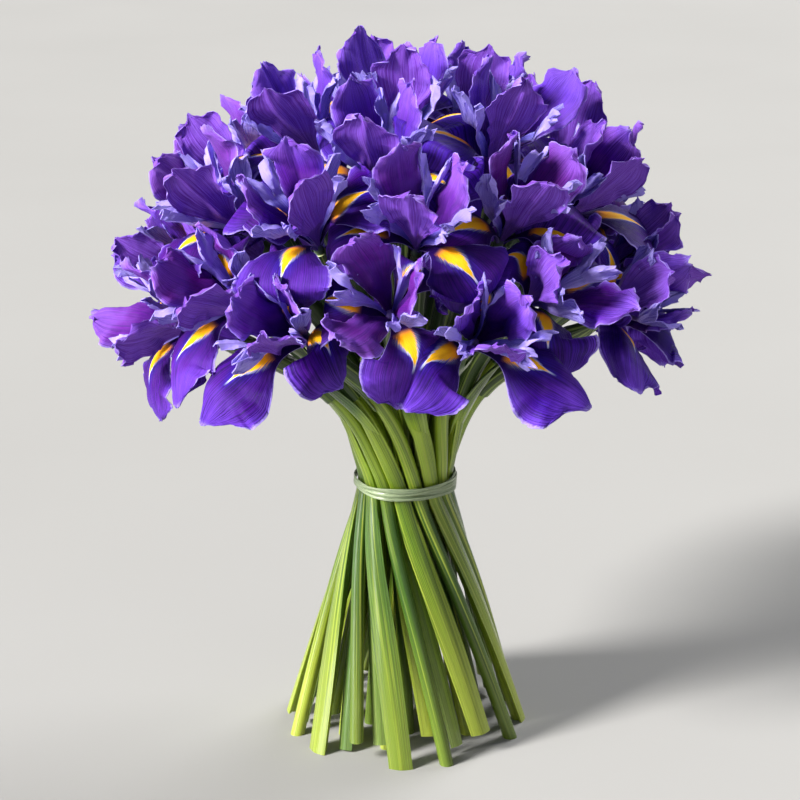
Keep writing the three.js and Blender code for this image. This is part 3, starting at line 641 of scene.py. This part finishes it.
def neck_curve(iris):
    """A stem's centreline from the neck to the bloom's foot, by the share of the way."""
    heights = (NECK_HEIGHT, NECK_HEIGHT - 2)
    start, before = (spiral_point(iris.tie_radius, iris.tie_angle, height) for height in heights)
    end = iris.foot - iris.axis * SEAT_GAP
    pull = norm(end - start) * NECK_PULL
    leave = start + unit(start - before) * pull
    arrive = end - iris.axis * pull

    def point(share):
        rest = 1 - share
        return rest**3 * start + 3 * rest**2 * share * leave + 3 * rest * share**2 * arrive + share**3 * end

    return point


def across_from(tangent, out):
    """out made square to a tangent, and the side that completes the two."""
    out = unit(out - tangent * out.dot(tangent))
    return out, np.cross(tangent, out)


def level(point):
    return np.array([point[0], point[1], 0])


def stem_section(radius, leaf_width, leafy):
    """One ring of a stem as [out, side] lengths, with its leaf's round it where it is leafy."""
    if not leafy:
        return rim_of(full_turn(STEM_SIDES), *np.eye(2)) * radius
    across = np.linspace(-1, 1, SHEATH.columns)
    edge = SHEATH.edge * radius
    crown = edge + (radius - edge) * (1 - np.abs(across) ** SHEATH.power)
    outer = np.stack([crown, across * leaf_width], 1)
    back = rim_of(np.radians(np.linspace(*SHEATH.back)), *np.eye(2)) * radius
    inner, beside = edge - SHEATH.thickness, leaf_width * SHEATH.narrowing
    half = SHEATH.columns // 2
    return joined(outer[half:], [[inner, beside]], back, [[inner, -beside]], outer[:half])


def line_lengths(points):
    steps = norm(np.diff(points, axis=0), axis=1)
    return joined([0], np.cumsum(steps))


def stem_parts(iris, leafy, draw):
    """A stem with its bracts and, where it is leafy, its leaf."""
    foot = iris.cut_height
    heights = foot + (NECK_HEIGHT - foot) * np.linspace(0, 1, STEM_STEPS)
    shares = np.linspace(0, 1, NECK_STEPS)[1:]
    curve = neck_curve(iris)
    centres = [spiral_point(iris.tie_radius, iris.tie_angle, height) for height in heights]
    centres = np.array(centres + [curve(share) for share in shares])
    radii = eased(NECK_RADII, shares)
    widest = SHEATH.widths[-1][1]
    narrowed = widest + (SHEATH.neck_width * radii - widest) * smoothstep(shares, 0, 0.5)
    leaf_widths = joined(eased(SHEATH.widths, heights), narrowed)
    radii = joined(eased(STEM_RADII, heights), radii)
    tangents = unit(np.gradient(centres, axis=0))
    tangents[-1] = iris.axis
    lengths = line_lengths(centres) / COLOUR_LENGTH
    rings, coords = [], []
    for k, (point, tangent) in enumerate(zip(centres, tangents)):
        out, side = across_from(tangent, level(point if iris.tie_radius else (1.0, 0)))
        section = stem_section(radii[k], leaf_widths[k], leafy)
        ring = point + section[:, :1] * out + section[:, 1:] * side
        if k == 0:
            ring = ring + (point[2] - ring[:, 2:]) / tangent[2] * tangent
        rings.append(ring)
        outward, around = section.T / SPAN_UNIT
        coords.append(np.stack([np.full(len(ring), lengths[k]), around, outward], 1))
    tint = [1 if leafy else 0, draw.random(), iris.tint]
    parts = [tube_part(np.array(rings), np.array(coords), tint, end_slot=CUT_SLOT)]
    parts += bract_parts(iris, draw)
    if leafy:
        parts.append(leaf_part(iris, draw))
    return parts


def sheet_part(grid, coords, thickness, iris, draw):
    """A green sheet. thickness may differ from column to column."""
    grid = np.array(grid)
    normals = grid_normals(grid).reshape(-1, 3)
    thickness = np.broadcast_to(thickness, grid.shape[:2]).ravel()
    points, faces = thickened(grid.reshape(-1, 3), grid_faces(*grid.shape[:2]), normals, thickness)
    coords = np.tile(coords.reshape(-1, 3), (2, 1))
    return part_of(points, faces, LEAF_SLOT, coords, [1, draw.random(), iris.tint])


def bract_parts(iris, draw):
    """The two green bracts of the spathe, which wrap a stem's top."""
    curve = neck_curve(iris)
    turn = draw.uniform(0, ROUND)
    shares = np.linspace(0, 1, BRACT.rows)
    across = np.linspace(-1, 1, BRACT.columns)
    keel = 1 + BRACT.keel * (1 - np.abs(across))
    parts = []
    for which, (start, beyond) in enumerate(BRACT.reaches):
        grid = []
        for share in shares:
            place = start + (1 - start) * min(share / BRACT.leaves, 1)
            centre = curve(place)
            tangent = unit(curve(min(place + 0.01, 1)) - curve(place - 0.01))
            if share > BRACT.leaves:
                centre = iris.foot + iris.axis * beyond * (share - BRACT.leaves) / (1 - BRACT.leaves)
                tangent = iris.axis
            out, side = across_from(tangent, iris.down)
            radius = eased(NECK_RADII, place) + BRACT.clearance + BRACT.apart * which
            radius += BRACT.flare * smoothstep(share, 0.75, 1)
            wrap = radians(BRACT.wrap) * straight(BRACT.wraps, share)
            rim = rim_of(turn + which * pi + across * wrap, out, side)
            grid.append(centre + (radius * keel)[:, None] * rim)
        coords = grid_coords(0.7 + shares * 0.3, across / 2)
        parts.append(sheet_part(grid, coords, BRACT.thickness, iris, draw))
    return parts


def folded_row(point, out, side, width, across, power):
    """One row of a leaf, folded back on both sides."""
    fold = -FOLD * width * np.abs(across) ** power
    return point + out * fold[:, None] + side * (width * across)[:, None]


def leaf_part(iris, draw):
    """The free end of a leaf, which leaves its stem above the tie."""
    curve = neck_curve(iris)
    first, last = LEAF.widths[0][0], LEAF.widths[-1][0]
    shares = np.linspace(first, last, LEAF.rows)
    across = np.linspace(1, -1, LEAF.columns)
    grid = []
    for share in shares:
        tangent = unit(curve(share + 0.01) - curve(share - 0.01))
        out, side = across_from(tangent, level(iris.foot))
        point = curve(share) + out * straight(LEAF.lift, share)
        grid.append(folded_row(point, out, side, straight(LEAF.widths, share), across, LEAF.fold_power))
    grid = smoothed(np.array(grid), 3)
    coords = grid_coords(0.4 + (shares - first) / (last - first) * 0.6, across * 0.6)
    return sheet_part(grid, coords, LEAF.thickness * (1 - 0.5 * np.abs(across) ** 3), iris, draw)


def blade_part(iris, draw):
    """A loose leaf below the tie, between two outer stems."""
    angle = iris.tie_angle + pi / RINGS[-1][0]
    across = np.linspace(1, -1, BLADE.columns)
    heights = np.linspace(draw.uniform(*BLADE.foot), BLADE.top, BLADE.rows)
    twist = draw.uniform(*BLADE.twist)
    grid = []
    for height in heights:
        point = spiral_point(BLADE.tie_radius, angle, height)
        tangent = unit(spiral_point(BLADE.tie_radius, angle, height + 1) - point)
        out, side = across_from(tangent, level(point))
        turn = twist * (1 - height / BLADE.top)
        turned = out * cos(turn) + side * sin(turn)
        side = side * cos(turn) - out * sin(turn)
        width = straight(BLADE.widths, height)
        grid.append(folded_row(point, turned, side, width, across, BLADE.fold_power))
    coords = grid_coords(heights / COLOUR_LENGTH, across * 0.5)
    return sheet_part(grid, coords, BLADE.thickness, iris, draw)


# The tie

TIE = Values(radius=28.9, strands=7, spread=5, points=180, widths=(1.4, 2.1), thickness=0.5)
# loops are half width, half height and strand width.
KNOT = Values(points=40, loops=((2.6, 3.0, 2.0), (3.3, 2.2, 1.6)), apart=0.7, thickness=0.7)
TIE_END = Values(points=26, reach=(10.5, 1.2, -21.5), bow=(1.5, 2.4, 0), width=3.0, thickness=0.45)
STRAND_SIDES = 10
STRAND_UNIT = 100


def strand_part(centres, outs, width, thickness, draw, closed):
    """A flat strand of raffia along a line of points. outs look away from the stems."""
    if closed:
        tangents = unit(np.roll(centres, -1, 0) - np.roll(centres, 1, 0))
    else:
        tangents = unit(np.gradient(centres, axis=0))
    outs = unit(outs - tangents * (tangents * outs).sum(1)[:, None])
    sides = np.cross(tangents, outs)
    angles = full_turn(STRAND_SIDES)
    widths = np.broadcast_to(width, len(centres))[:, None, None]
    shape = np.sign(np.cos(angles)) * np.abs(np.cos(angles)) ** 0.8 / 2 + 0.12 * np.cos(3 * angles)
    rings = centres[:, None] + outs[:, None] * (shape * thickness)[None, :, None]
    rings = rings + sides[:, None] * (widths * np.sin(angles)[None, :, None] / 2)
    lengths = line_lengths(centres) / STRAND_UNIT
    coords = grid_coords(lengths, np.sin(angles), np.cos(angles)[None])
    return tube_part(rings, coords, [1, draw.random(), draw.random()], closed=closed)


def band_strands(draw):
    """The strands that go round the stems."""
    angles = full_turn(TIE.points)
    outward = rim_of(angles, *np.eye(3)[:2])
    for strand in range(TIE.strands):
        height = TIE_HEIGHT + TIE.spread * (strand / (TIE.strands - 1) - 0.5)
        wander = 1.3 * np.sin(angles + draw.uniform(0, 6)) + 0.4 * np.sin(4 * angles + draw.uniform(0, 6))
        radius = TIE.radius + 0.25 + 0.25 * np.sin(3 * angles + draw.uniform(0, 6)) + 0.3 * (strand % 2)
        centres = outward * radius[:, None] + UP * (height + wander)[:, None]
        tilt = UP * (0.35 * np.sin(4 * angles + draw.uniform(0, 6)))[:, None]
        yield strand_part(centres, outward + tilt, draw.uniform(*TIE.widths), TIE.thickness, draw, True)


def tie_parts():
    """The band, its knot at the back and its two loose ends."""
    draw = np.random.default_rng(SEEDS.tie)
    parts = list(band_strands(draw))
    back = np.array([0.0, TIE.radius + 2, TIE_HEIGHT])
    turn = full_turn(KNOT.points)
    cosine, sine = np.cos(turn), np.sin(turn)
    for knot, (width, height, strand) in enumerate(KNOT.loops):
        x = cosine * width + 0.6 * np.sin(2 * turn + knot)
        ring = np.stack([x, 0.4 + sine * 0.6 + knot * KNOT.apart, sine * height], 1)
        outs = np.stack([cosine * 0.4, np.full_like(turn, 1.0), sine * 0.4], 1)
        parts.append(strand_part(back + ring, outs, strand, KNOT.thickness, draw, True))
    t = np.linspace(0, 1, TIE_END.points)
    for sign in (-1, 1):
        mirror = np.array([sign, 1, 1])
        line = back + mirror * (1.0, 0.8, 0) + mirror * TIE_END.reach * t[:, None]
        line = line + mirror * TIE_END.bow * np.sin(pi * t)[:, None]
        outs = np.tile(mirror * (0.3, 1.0, 0.15), (TIE_END.points, 1))
        widths = TIE_END.width - 1.2 * t**3
        parts.append(strand_part(line, outs, widths, TIE_END.thickness, draw, False))
    return parts


# Materials
#
# The attribute "petal" holds the share of the way along, the place across and a length in centimetres.
# "tint" holds 1 on an upper side or a leafy stem, the sheet's random number and the bloom's.


class Nodes:
    """A node material and what its colours need."""

    def __init__(self, name, **constants):
        self.material = bpy.data.materials.new(name)
        self.material.use_nodes = True
        self.tree = self.material.node_tree
        self.shader = self.tree.nodes["Principled BSDF"]
        for socket, value in constants.items():
            self.shader.inputs[socket.replace("_", " ")].default_value = value

    def put(self, socket, value):
        if isinstance(value, bpy.types.NodeSocket):
            self.tree.links.new(value, socket)
        else:
            socket.default_value = value

    def node(self, kind, output, inputs, **settings):
        """A new node's output. inputs holds values or other outputs, by socket."""
        node = self.tree.nodes.new("ShaderNode" + kind)
        for setting, value in settings.items():
            setattr(node, setting, value)
        for socket, value in inputs.items():
            self.put(node.inputs[socket], value)
        return node.outputs[output]

    def attribute(self, name):
        """The three values of a mesh attribute."""
        vector = self.node("Attribute", "Vector", {}, attribute_name=name)
        return self.node("SeparateXYZ", 0, {0: vector}).node.outputs

    def math(self, operation, *values):
        return self.node("Math", 0, dict(enumerate(values)), operation=operation)

    def times(self, first, second):
        return self.math("MULTIPLY", first, second)

    def stretched(self, *pairs):
        """A vector of three values, each times its own factor."""
        values = [value if factor == 1 else self.times(value, factor) for value, factor in pairs]
        return self.node("CombineXYZ", 0, dict(enumerate(values)))

    def ease(self, *values):
        """A smooth rise: value, low, high and, where it isn't 0 to 1, from and to."""
        return self.node("MapRange", 0, dict(enumerate(values)), interpolation_type="SMOOTHSTEP")

    def noise(self, vector, scale, detail=2, roughness=0.5):
        inputs = {"Vector": vector, "Scale": scale, "Detail": detail, "Roughness": roughness}
        return self.node("TexNoise", "Fac", inputs)

    def mix(self, factor, first, second):
        first, second = ((*one, 1) if isinstance(one, tuple) else one for one in (first, second))
        return self.node("Mix", 2, {0: factor, 6: first, 7: second}, data_type="RGBA")

    def place(self):
        return self.node("TexCoord", "Object", {})

    def bump(self, height, strength, distance):
        inputs = {"Height": height, "Strength": strength, "Distance": distance}
        self.put(self.shader.inputs["Normal"], self.node("Bump", 0, inputs))

    def finish(self, colour, roughness):
        self.put(self.shader.inputs["Base Color"], colour)
        self.put(self.shader.inputs["Roughness"], roughness)
        return self.material


HALO_BLUE = (0.02, 0.012, 0.4)
SIGNAL_WHITE = (0.6, 0.64, 0.95)
SIGNAL_ORANGE, SIGNAL_YELLOW = (0.9, 0.3, 0.004), (1, 0.5, 0.012)
# Painted highlight colour for the thin bright line along the petals' rims.
RIM_HIGHLIGHT_LILAC = (0.46, 0.36, 0.95)
# The neck's own yellower green, brightened as painted light.
LIT_NECK_GREEN = (0.4, 0.56, 0.035)
SHADED_GREEN = (0.012, 0.03, 0.008)


def petal_material(name, deep, blue, red, light, under, faint, signal=False):
    """A petal's skin. faint is how much of the full colour its darkest veins keep."""
    n = Nodes(
        name, Sheen_Weight=0.02, Sheen_Roughness=0.4, Sheen_Tint=(0.62, 0.55, 1, 1),
        Specular_IOR_Level=0.06, Subsurface_Weight=0.06, Subsurface_Radius=(0.8, 0.3, 1),
        Subsurface_Scale=0.001,
    )
    along, across, span = n.attribute("petal")
    upper, own, bloom = n.attribute("tint")
    outer = n.math("MAXIMUM", n.math("ABSOLUTE", across), n.times(along, 0.97))
    drift = n.noise(n.stretched((across, 2.2), (along, 3), (own, 1)), 1)
    fan = n.math("MULTIPLY_ADD", drift, 2, n.times(across, 30))
    veins = n.noise(n.stretched((fan, 1), (along, 1.4), (own, 30)), 1.6, 3, 0.55)
    lines = n.ease(veins, 0.34, 0.62, faint, 1)
    cloud = n.noise(n.place(), 38, 3)
    tone = n.mix(n.ease(n.math("ADD", bloom, cloud), 0.55, 1.15), blue, red)
    if signal:
        reach = n.times(n.math("ABSOLUTE", span), 10)
        ahead = n.math("ABSOLUTE", n.math("SUBTRACT", along, 0.46))
        halo = n.math("MULTIPLY_ADD", reach, 0.1, n.times(ahead, 3.6))
        tone = n.mix(n.ease(halo, 0.35, 1.25, 0.9, 0), tone, HALO_BLUE)
    body = n.mix(lines, deep, tone)
    body = n.mix(n.ease(cloud, 0.45, 0.75, 0, 0.3), body, light)
    body = n.mix(n.times(n.ease(outer, 0.62, 1, 0, 0.62), lines), body, light)
    body = n.mix(n.times(own, 0.16), body, light)
    body = n.mix(n.ease(along, 0.25, 0.75, 0.88, 0), body, deep)
    if signal:
        edge = n.math("DIVIDE", reach, n.ease(along, 0.36, 0.62, 4.4, 0.4))
        edge = n.math("MULTIPLY_ADD", n.math("SUBTRACT", veins, 0.5), 1.5, edge)
        flame = n.times(n.ease(along, 0.6, 0.68, 1, 0), n.ease(along, 0.3, 0.38))
        pale = n.times(n.ease(edge, 0.9, 1.75, 0.95, 0), n.ease(along, 0.4, 0.56, 0.25, 1))
        body = n.mix(n.times(pale, flame), body, SIGNAL_WHITE)
        gold = n.mix(n.ease(along, 0.3, 0.44), SIGNAL_ORANGE, SIGNAL_YELLOW)
        filled = n.times(n.ease(edge, 0.85, 1.15, 1, 0), n.ease(along, 0.57, 0.63, 1, 0))
        body = n.mix(n.times(filled, n.ease(along, 0.26, 0.34)), body, gold)
    # Painted highlight: a thin pale lilac line along the petal's rim, made ragged by noise, as if light
    # caught the ruffled edge.
    frill = n.noise(n.stretched((along, 60), (across, 40), (own, 1)), 1, 1)
    rim_highlight = n.math("MULTIPLY_ADD", n.math("SUBTRACT", frill, 0.5), 0.06, outer)
    body = n.mix(n.ease(rim_highlight, 0.93, 0.99, 0, 0.65), body, RIM_HIGHLIGHT_LILAC)
    below = n.mix(n.times(lines, 0.6), under, light)
    body = n.mix(upper, below, body)
    crinkle = n.noise(n.place(), 420, 3, 0.6)
    n.bump(n.math("ADD", veins, n.times(crinkle, 0.35)), 0.5, 0.001)
    return n.finish(body, n.ease(veins, 0.3, 0.7, 0.42, 0.58))


def stem_material(name, yellow, blue, deep, pale):
    """Green skin with fine ribs and streaks, paler at the foot; painted light on the neck, painted shade
    above.
    """
    n = Nodes(
        name, Specular_IOR_Level=0.35, Coat_Weight=0.5, Coat_Roughness=0.2, Sheen_Weight=0.06,
        Sheen_Roughness=0.35, Sheen_Tint=(0.85, 1, 0.6, 1), Subsurface_Weight=0.08,
        Subsurface_Radius=(0.4, 1, 0.2), Subsurface_Scale=0.002,
    )
    along, around, _ = n.attribute("petal")
    _, own, _ = n.attribute("tint")
    ribs = n.noise(n.stretched((around, 40), (along, 2), (own, 1)), 1, 3, 0.6)
    broad = n.noise(n.stretched((around, 3), (along, 5), (own, 9)), 1)
    tone = n.mix(n.ease(n.math("MULTIPLY_ADD", broad, 0.5, own), 0.45, 1.05), blue, yellow)
    body = n.mix(n.ease(ribs, 0.34, 0.62, 0.12, 1), deep, tone)
    foot = n.times(n.ease(along, 0, 0.3, 0.75, 0), n.ease(own, 0.2, 0.9, 0.25, 1))
    body = n.mix(foot, body, pale)
    body = n.mix(n.ease(broad, 0.5, 0.8, 0, 0.35), body, pale)
    # Painted light: a bright yellow-green band on the neck, stronger on the ribs, over its own yellower
    # tint.
    neck = n.times(n.ease(along, 0.36, 0.44), n.ease(along, 0.52, 0.64, 0.7, 0))
    body = n.mix(n.times(neck, n.ease(ribs, 0.32, 0.56, 0.25, 1)), body, LIT_NECK_GREEN)
    # Painted shade: the stems darken to a near-black green higher up, inside the head.
    body = n.mix(n.ease(along, 0.6, 0.8, 0, 0.8), body, SHADED_GREEN)
    streak = n.noise(n.stretched((around, 12), (along, 1.5), (own, 21)), 1, 2)
    body = n.mix(n.ease(streak, 0.56, 0.68, 0, 0.6), body, pale)
    body = n.mix(n.ease(streak, 0.3, 0.44, 0.6, 0), body, deep)
    n.bump(ribs, 0.6, 0.001)
    return n.finish(body, n.ease(ribs, 0.3, 0.7, 0.28, 0.44))


def cut_material():
    n = Nodes("cut_end", Specular_IOR_Level=0.4, Subsurface_Weight=0.1)
    speckle = n.noise(n.place(), 900, 3)
    n.bump(speckle, 0.5, 0.0006)
    return n.finish(n.mix(n.ease(speckle, 0.35, 0.65), (0.45, 0.55, 0.2), (0.72, 0.78, 0.45)), 0.55)


def raffia_material():
    n = Nodes("raffia", Specular_IOR_Level=0.5, Coat_Weight=0.5, Coat_Roughness=0.2)
    along, around, _ = n.attribute("petal")
    _, own, _ = n.attribute("tint")
    fibres = n.noise(n.stretched((along, 2), (around, 9), (own, 7)), 1.4, 3)
    body = n.mix(n.ease(fibres, 0.38, 0.62), (0.06, 0.12, 0.03), (0.45, 0.55, 0.3))
    n.bump(fibres, 0.6, 0.0006)
    return n.finish(n.mix(n.times(own, 0.35), body, (0.62, 0.7, 0.5)), 0.42)


def hub_material():
    n = Nodes("tube", Specular_IOR_Level=0.4)
    along, _, _ = n.attribute("petal")
    speckle = n.noise(n.place(), 300, 2)
    body = n.mix(n.ease(along, 0.1, 0.7), (0.14, 0.25, 0.05), (0.1, 0.04, 0.3))
    return n.finish(n.mix(n.times(speckle, 0.3), body, (0.3, 0.3, 0.5)), 0.5)


def floor_material():
    n = Nodes("pale_floor", Specular_IOR_Level=0.3)
    grain = n.noise(n.place(), 3, 4)
    return n.finish(n.mix(grain, (0.36, 0.355, 0.345), (0.39, 0.385, 0.375)), 0.75)


PETAL_MATERIALS = [
    petal_material(
        "fall", deep=(0.008, 0.0003, 0.045), blue=(0.03, 0.002, 0.26), red=(0.08, 0.002, 0.19),
        light=(0.19, 0.075, 0.74), under=(0.055, 0.004, 0.2), faint=0.1, signal=True
    ),
    petal_material(
        "standard", deep=(0.026, 0.0008, 0.1), blue=(0.055, 0.003, 0.39), red=(0.15, 0.003, 0.25),
        light=(0.37, 0.18, 0.92), under=(0.09, 0.005, 0.27), faint=0.25
    ),
    petal_material(
        "style", deep=(0.06, 0.04, 0.42), blue=(0.15, 0.12, 0.76), red=(0.25, 0.13, 0.68),
        light=(0.54, 0.5, 1), under=(0.14, 0.08, 0.54), faint=0.1
    ),
    hub_material(),
]
STEM_MATERIALS = [
    stem_material(
        "stem_skin", yellow=(0.19, 0.3, 0.003), blue=(0.045, 0.13, 0.007), deep=(0.01, 0.04, 0.001),
        pale=(0.47, 0.55, 0.06)
    ),
    cut_material(),
    stem_material(
        "leaf_skin", yellow=(0.15, 0.26, 0.006), blue=(0.055, 0.15, 0.024), deep=(0.015, 0.055, 0.003),
        pale=(0.38, 0.49, 0.12)
    ),
]

# Pieces

SHARP_ANGLE = radians(62)


def add_object(name, data):
    made = bpy.data.objects.new(name, data)
    bpy.context.scene.collection.objects.link(made)
    return made


def make_piece(name, parts, materials, node):
    """One mesh that stands for a CAD node. Only the cut ends of stems are flat."""
    counts = np.cumsum([0] + [len(part.points) for part in parts])
    points = np.concatenate([part.points for part in parts]) * MM
    faces = np.concatenate([part.faces + start for part, start in zip(parts, counts)])
    slots = np.concatenate([part.slots for part in parts])
    mesh = bpy.data.meshes.new(name)
    mesh.vertices.add(len(points))
    mesh.loops.add(faces.size)
    mesh.polygons.add(len(faces))
    mesh.vertices.foreach_set("co", points.ravel())
    mesh.loops.foreach_set("vertex_index", faces.ravel())
    mesh.polygons.foreach_set("loop_start", np.arange(len(faces)) * 3)
    mesh.polygons.foreach_set("material_index", slots)
    mesh.polygons.foreach_set("use_smooth", (slots != CUT_SLOT) | (materials is not STEM_MATERIALS))
    for key, field in (("petal", "coords"), ("tint", "tint")):
        attribute = mesh.attributes.new(key, "FLOAT_VECTOR", "POINT")
        values = np.concatenate([getattr(part, field) for part in parts])
        attribute.data.foreach_set("vector", values.ravel())
    for material in materials:
        mesh.materials.append(material)
    mesh.update(calc_edges=True)
    mesh.validate()
    mesh.set_sharp_from_angle(angle=SHARP_ANGLE)
    piece = add_object(name, mesh)
    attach(piece, "root")
    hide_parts(node)


irises = lay_out_irises()
for iris in irises:
    iris.neighbours = [one for one in irises if one is not iris and apart(iris, one) < NEIGHBOUR_REACH]
    iris.tint = np.random.default_rng([SEEDS.tint, iris.number]).random()
settle_rolls(irises)
for iris in irises:
    iris.walls = walls_of(iris)

for iris in irises:
    parts = [hub_part(iris)]
    for side in (0, 2, 4):
        for turn, kind in ((side, FALL), (side + 1, STANDARD), (side, STYLE_ARM)):
            draw = np.random.default_rng([SEEDS.petals, iris.number, turn, kind.slot])
            parts.append(petal_part(iris, turn, kind, draw))
    number = f"{iris.number + 1:02d}"
    make_piece(f"iris_{number}", parts, PETAL_MATERIALS, f"bloom_{number}")

inner = []
for iris in irises:
    draw = np.random.default_rng([SEEDS.stems, iris.number])
    leafy = iris.ring >= 2 and iris.slot % 2 == 0
    parts = stem_parts(iris, leafy, draw)
    if iris.outer:
        prefix, number = "leafy_" if leafy else "", f"{iris.slot + 1:02d}"
        make_piece(f"{prefix}stalk_{number}", parts, STEM_MATERIALS, f"{prefix}stem_{number}")
    else:
        inner += parts
for iris in irises:
    if iris.outer and iris.slot not in BLADE.skipped:
        inner.append(blade_part(iris, np.random.default_rng([SEEDS.blades, iris.number])))
make_piece("stalks_inner", inner, STEM_MATERIALS, "stems_inner")
make_piece("raffia_tie", tie_parts(), [raffia_material()], "tie")

# Floor, lights and camera

FLOOR_SIZE = 60.0
bpy.ops.mesh.primitive_plane_add(size=FLOOR_SIZE)
floor = bpy.context.object
floor.name = "floor"
floor.data.materials.append(floor_material())


def add_light(name, kind, location, target, energy, colour, **settings):
    data = bpy.data.lights.new(name, kind)
    data.energy, data.color = energy, colour
    for setting, value in settings.items():
        setattr(data, setting, value)
    light = add_object(name, data)
    light.location = location
    light.rotation_euler = (Vector(target) - Vector(location)).to_track_quat("-Z", "Y").to_euler()


ORIGIN = (0, 0, 0)
MIDDLE = (0, 0, 0.22)
add_light("key", "SUN", (-1.6, -0.8, 1.12), ORIGIN, 7.0, (1.0, 0.98, 0.95), angle=0.25)
add_light("back", "SUN", (0.9, 1.1, 1.15), ORIGIN, 2.2, (1.0, 1.0, 1.0), angle=0.5)
add_light("window", "SUN", (-1.3, -0.6, 0.25), ORIGIN, 1.5, (1.0, 1.0, 0.98), angle=0.4)
add_light("fill", "AREA", (1.3, -1.6, 0.9), MIDDLE, 4, (0.95, 0.97, 1.0), size=1.4)
world = bpy.data.worlds.new("studio")
world.use_nodes = True
sky = world.node_tree.nodes["Background"].inputs
sky["Color"].default_value, sky["Strength"].default_value = (0.86, 0.9, 0.96, 1), 0.17
bpy.context.scene.world = world

ELEVATION = radians(18)
DISTANCE = 1.35
AIM = (-0.003, 0, 0.198)
camera = add_object("camera", bpy.data.cameras.new("camera"))
camera.data.lens, camera.data.sensor_width = 106.5, 36
forward = Vector((0, cos(ELEVATION), -sin(ELEVATION)))
camera.location = Vector(AIM) - forward * DISTANCE
camera.rotation_euler = forward.to_track_quat("-Z", "Y").to_euler()
bpy.context.scene.camera = camera

bpy.context.scene.view_settings.view_transform = "Standard"
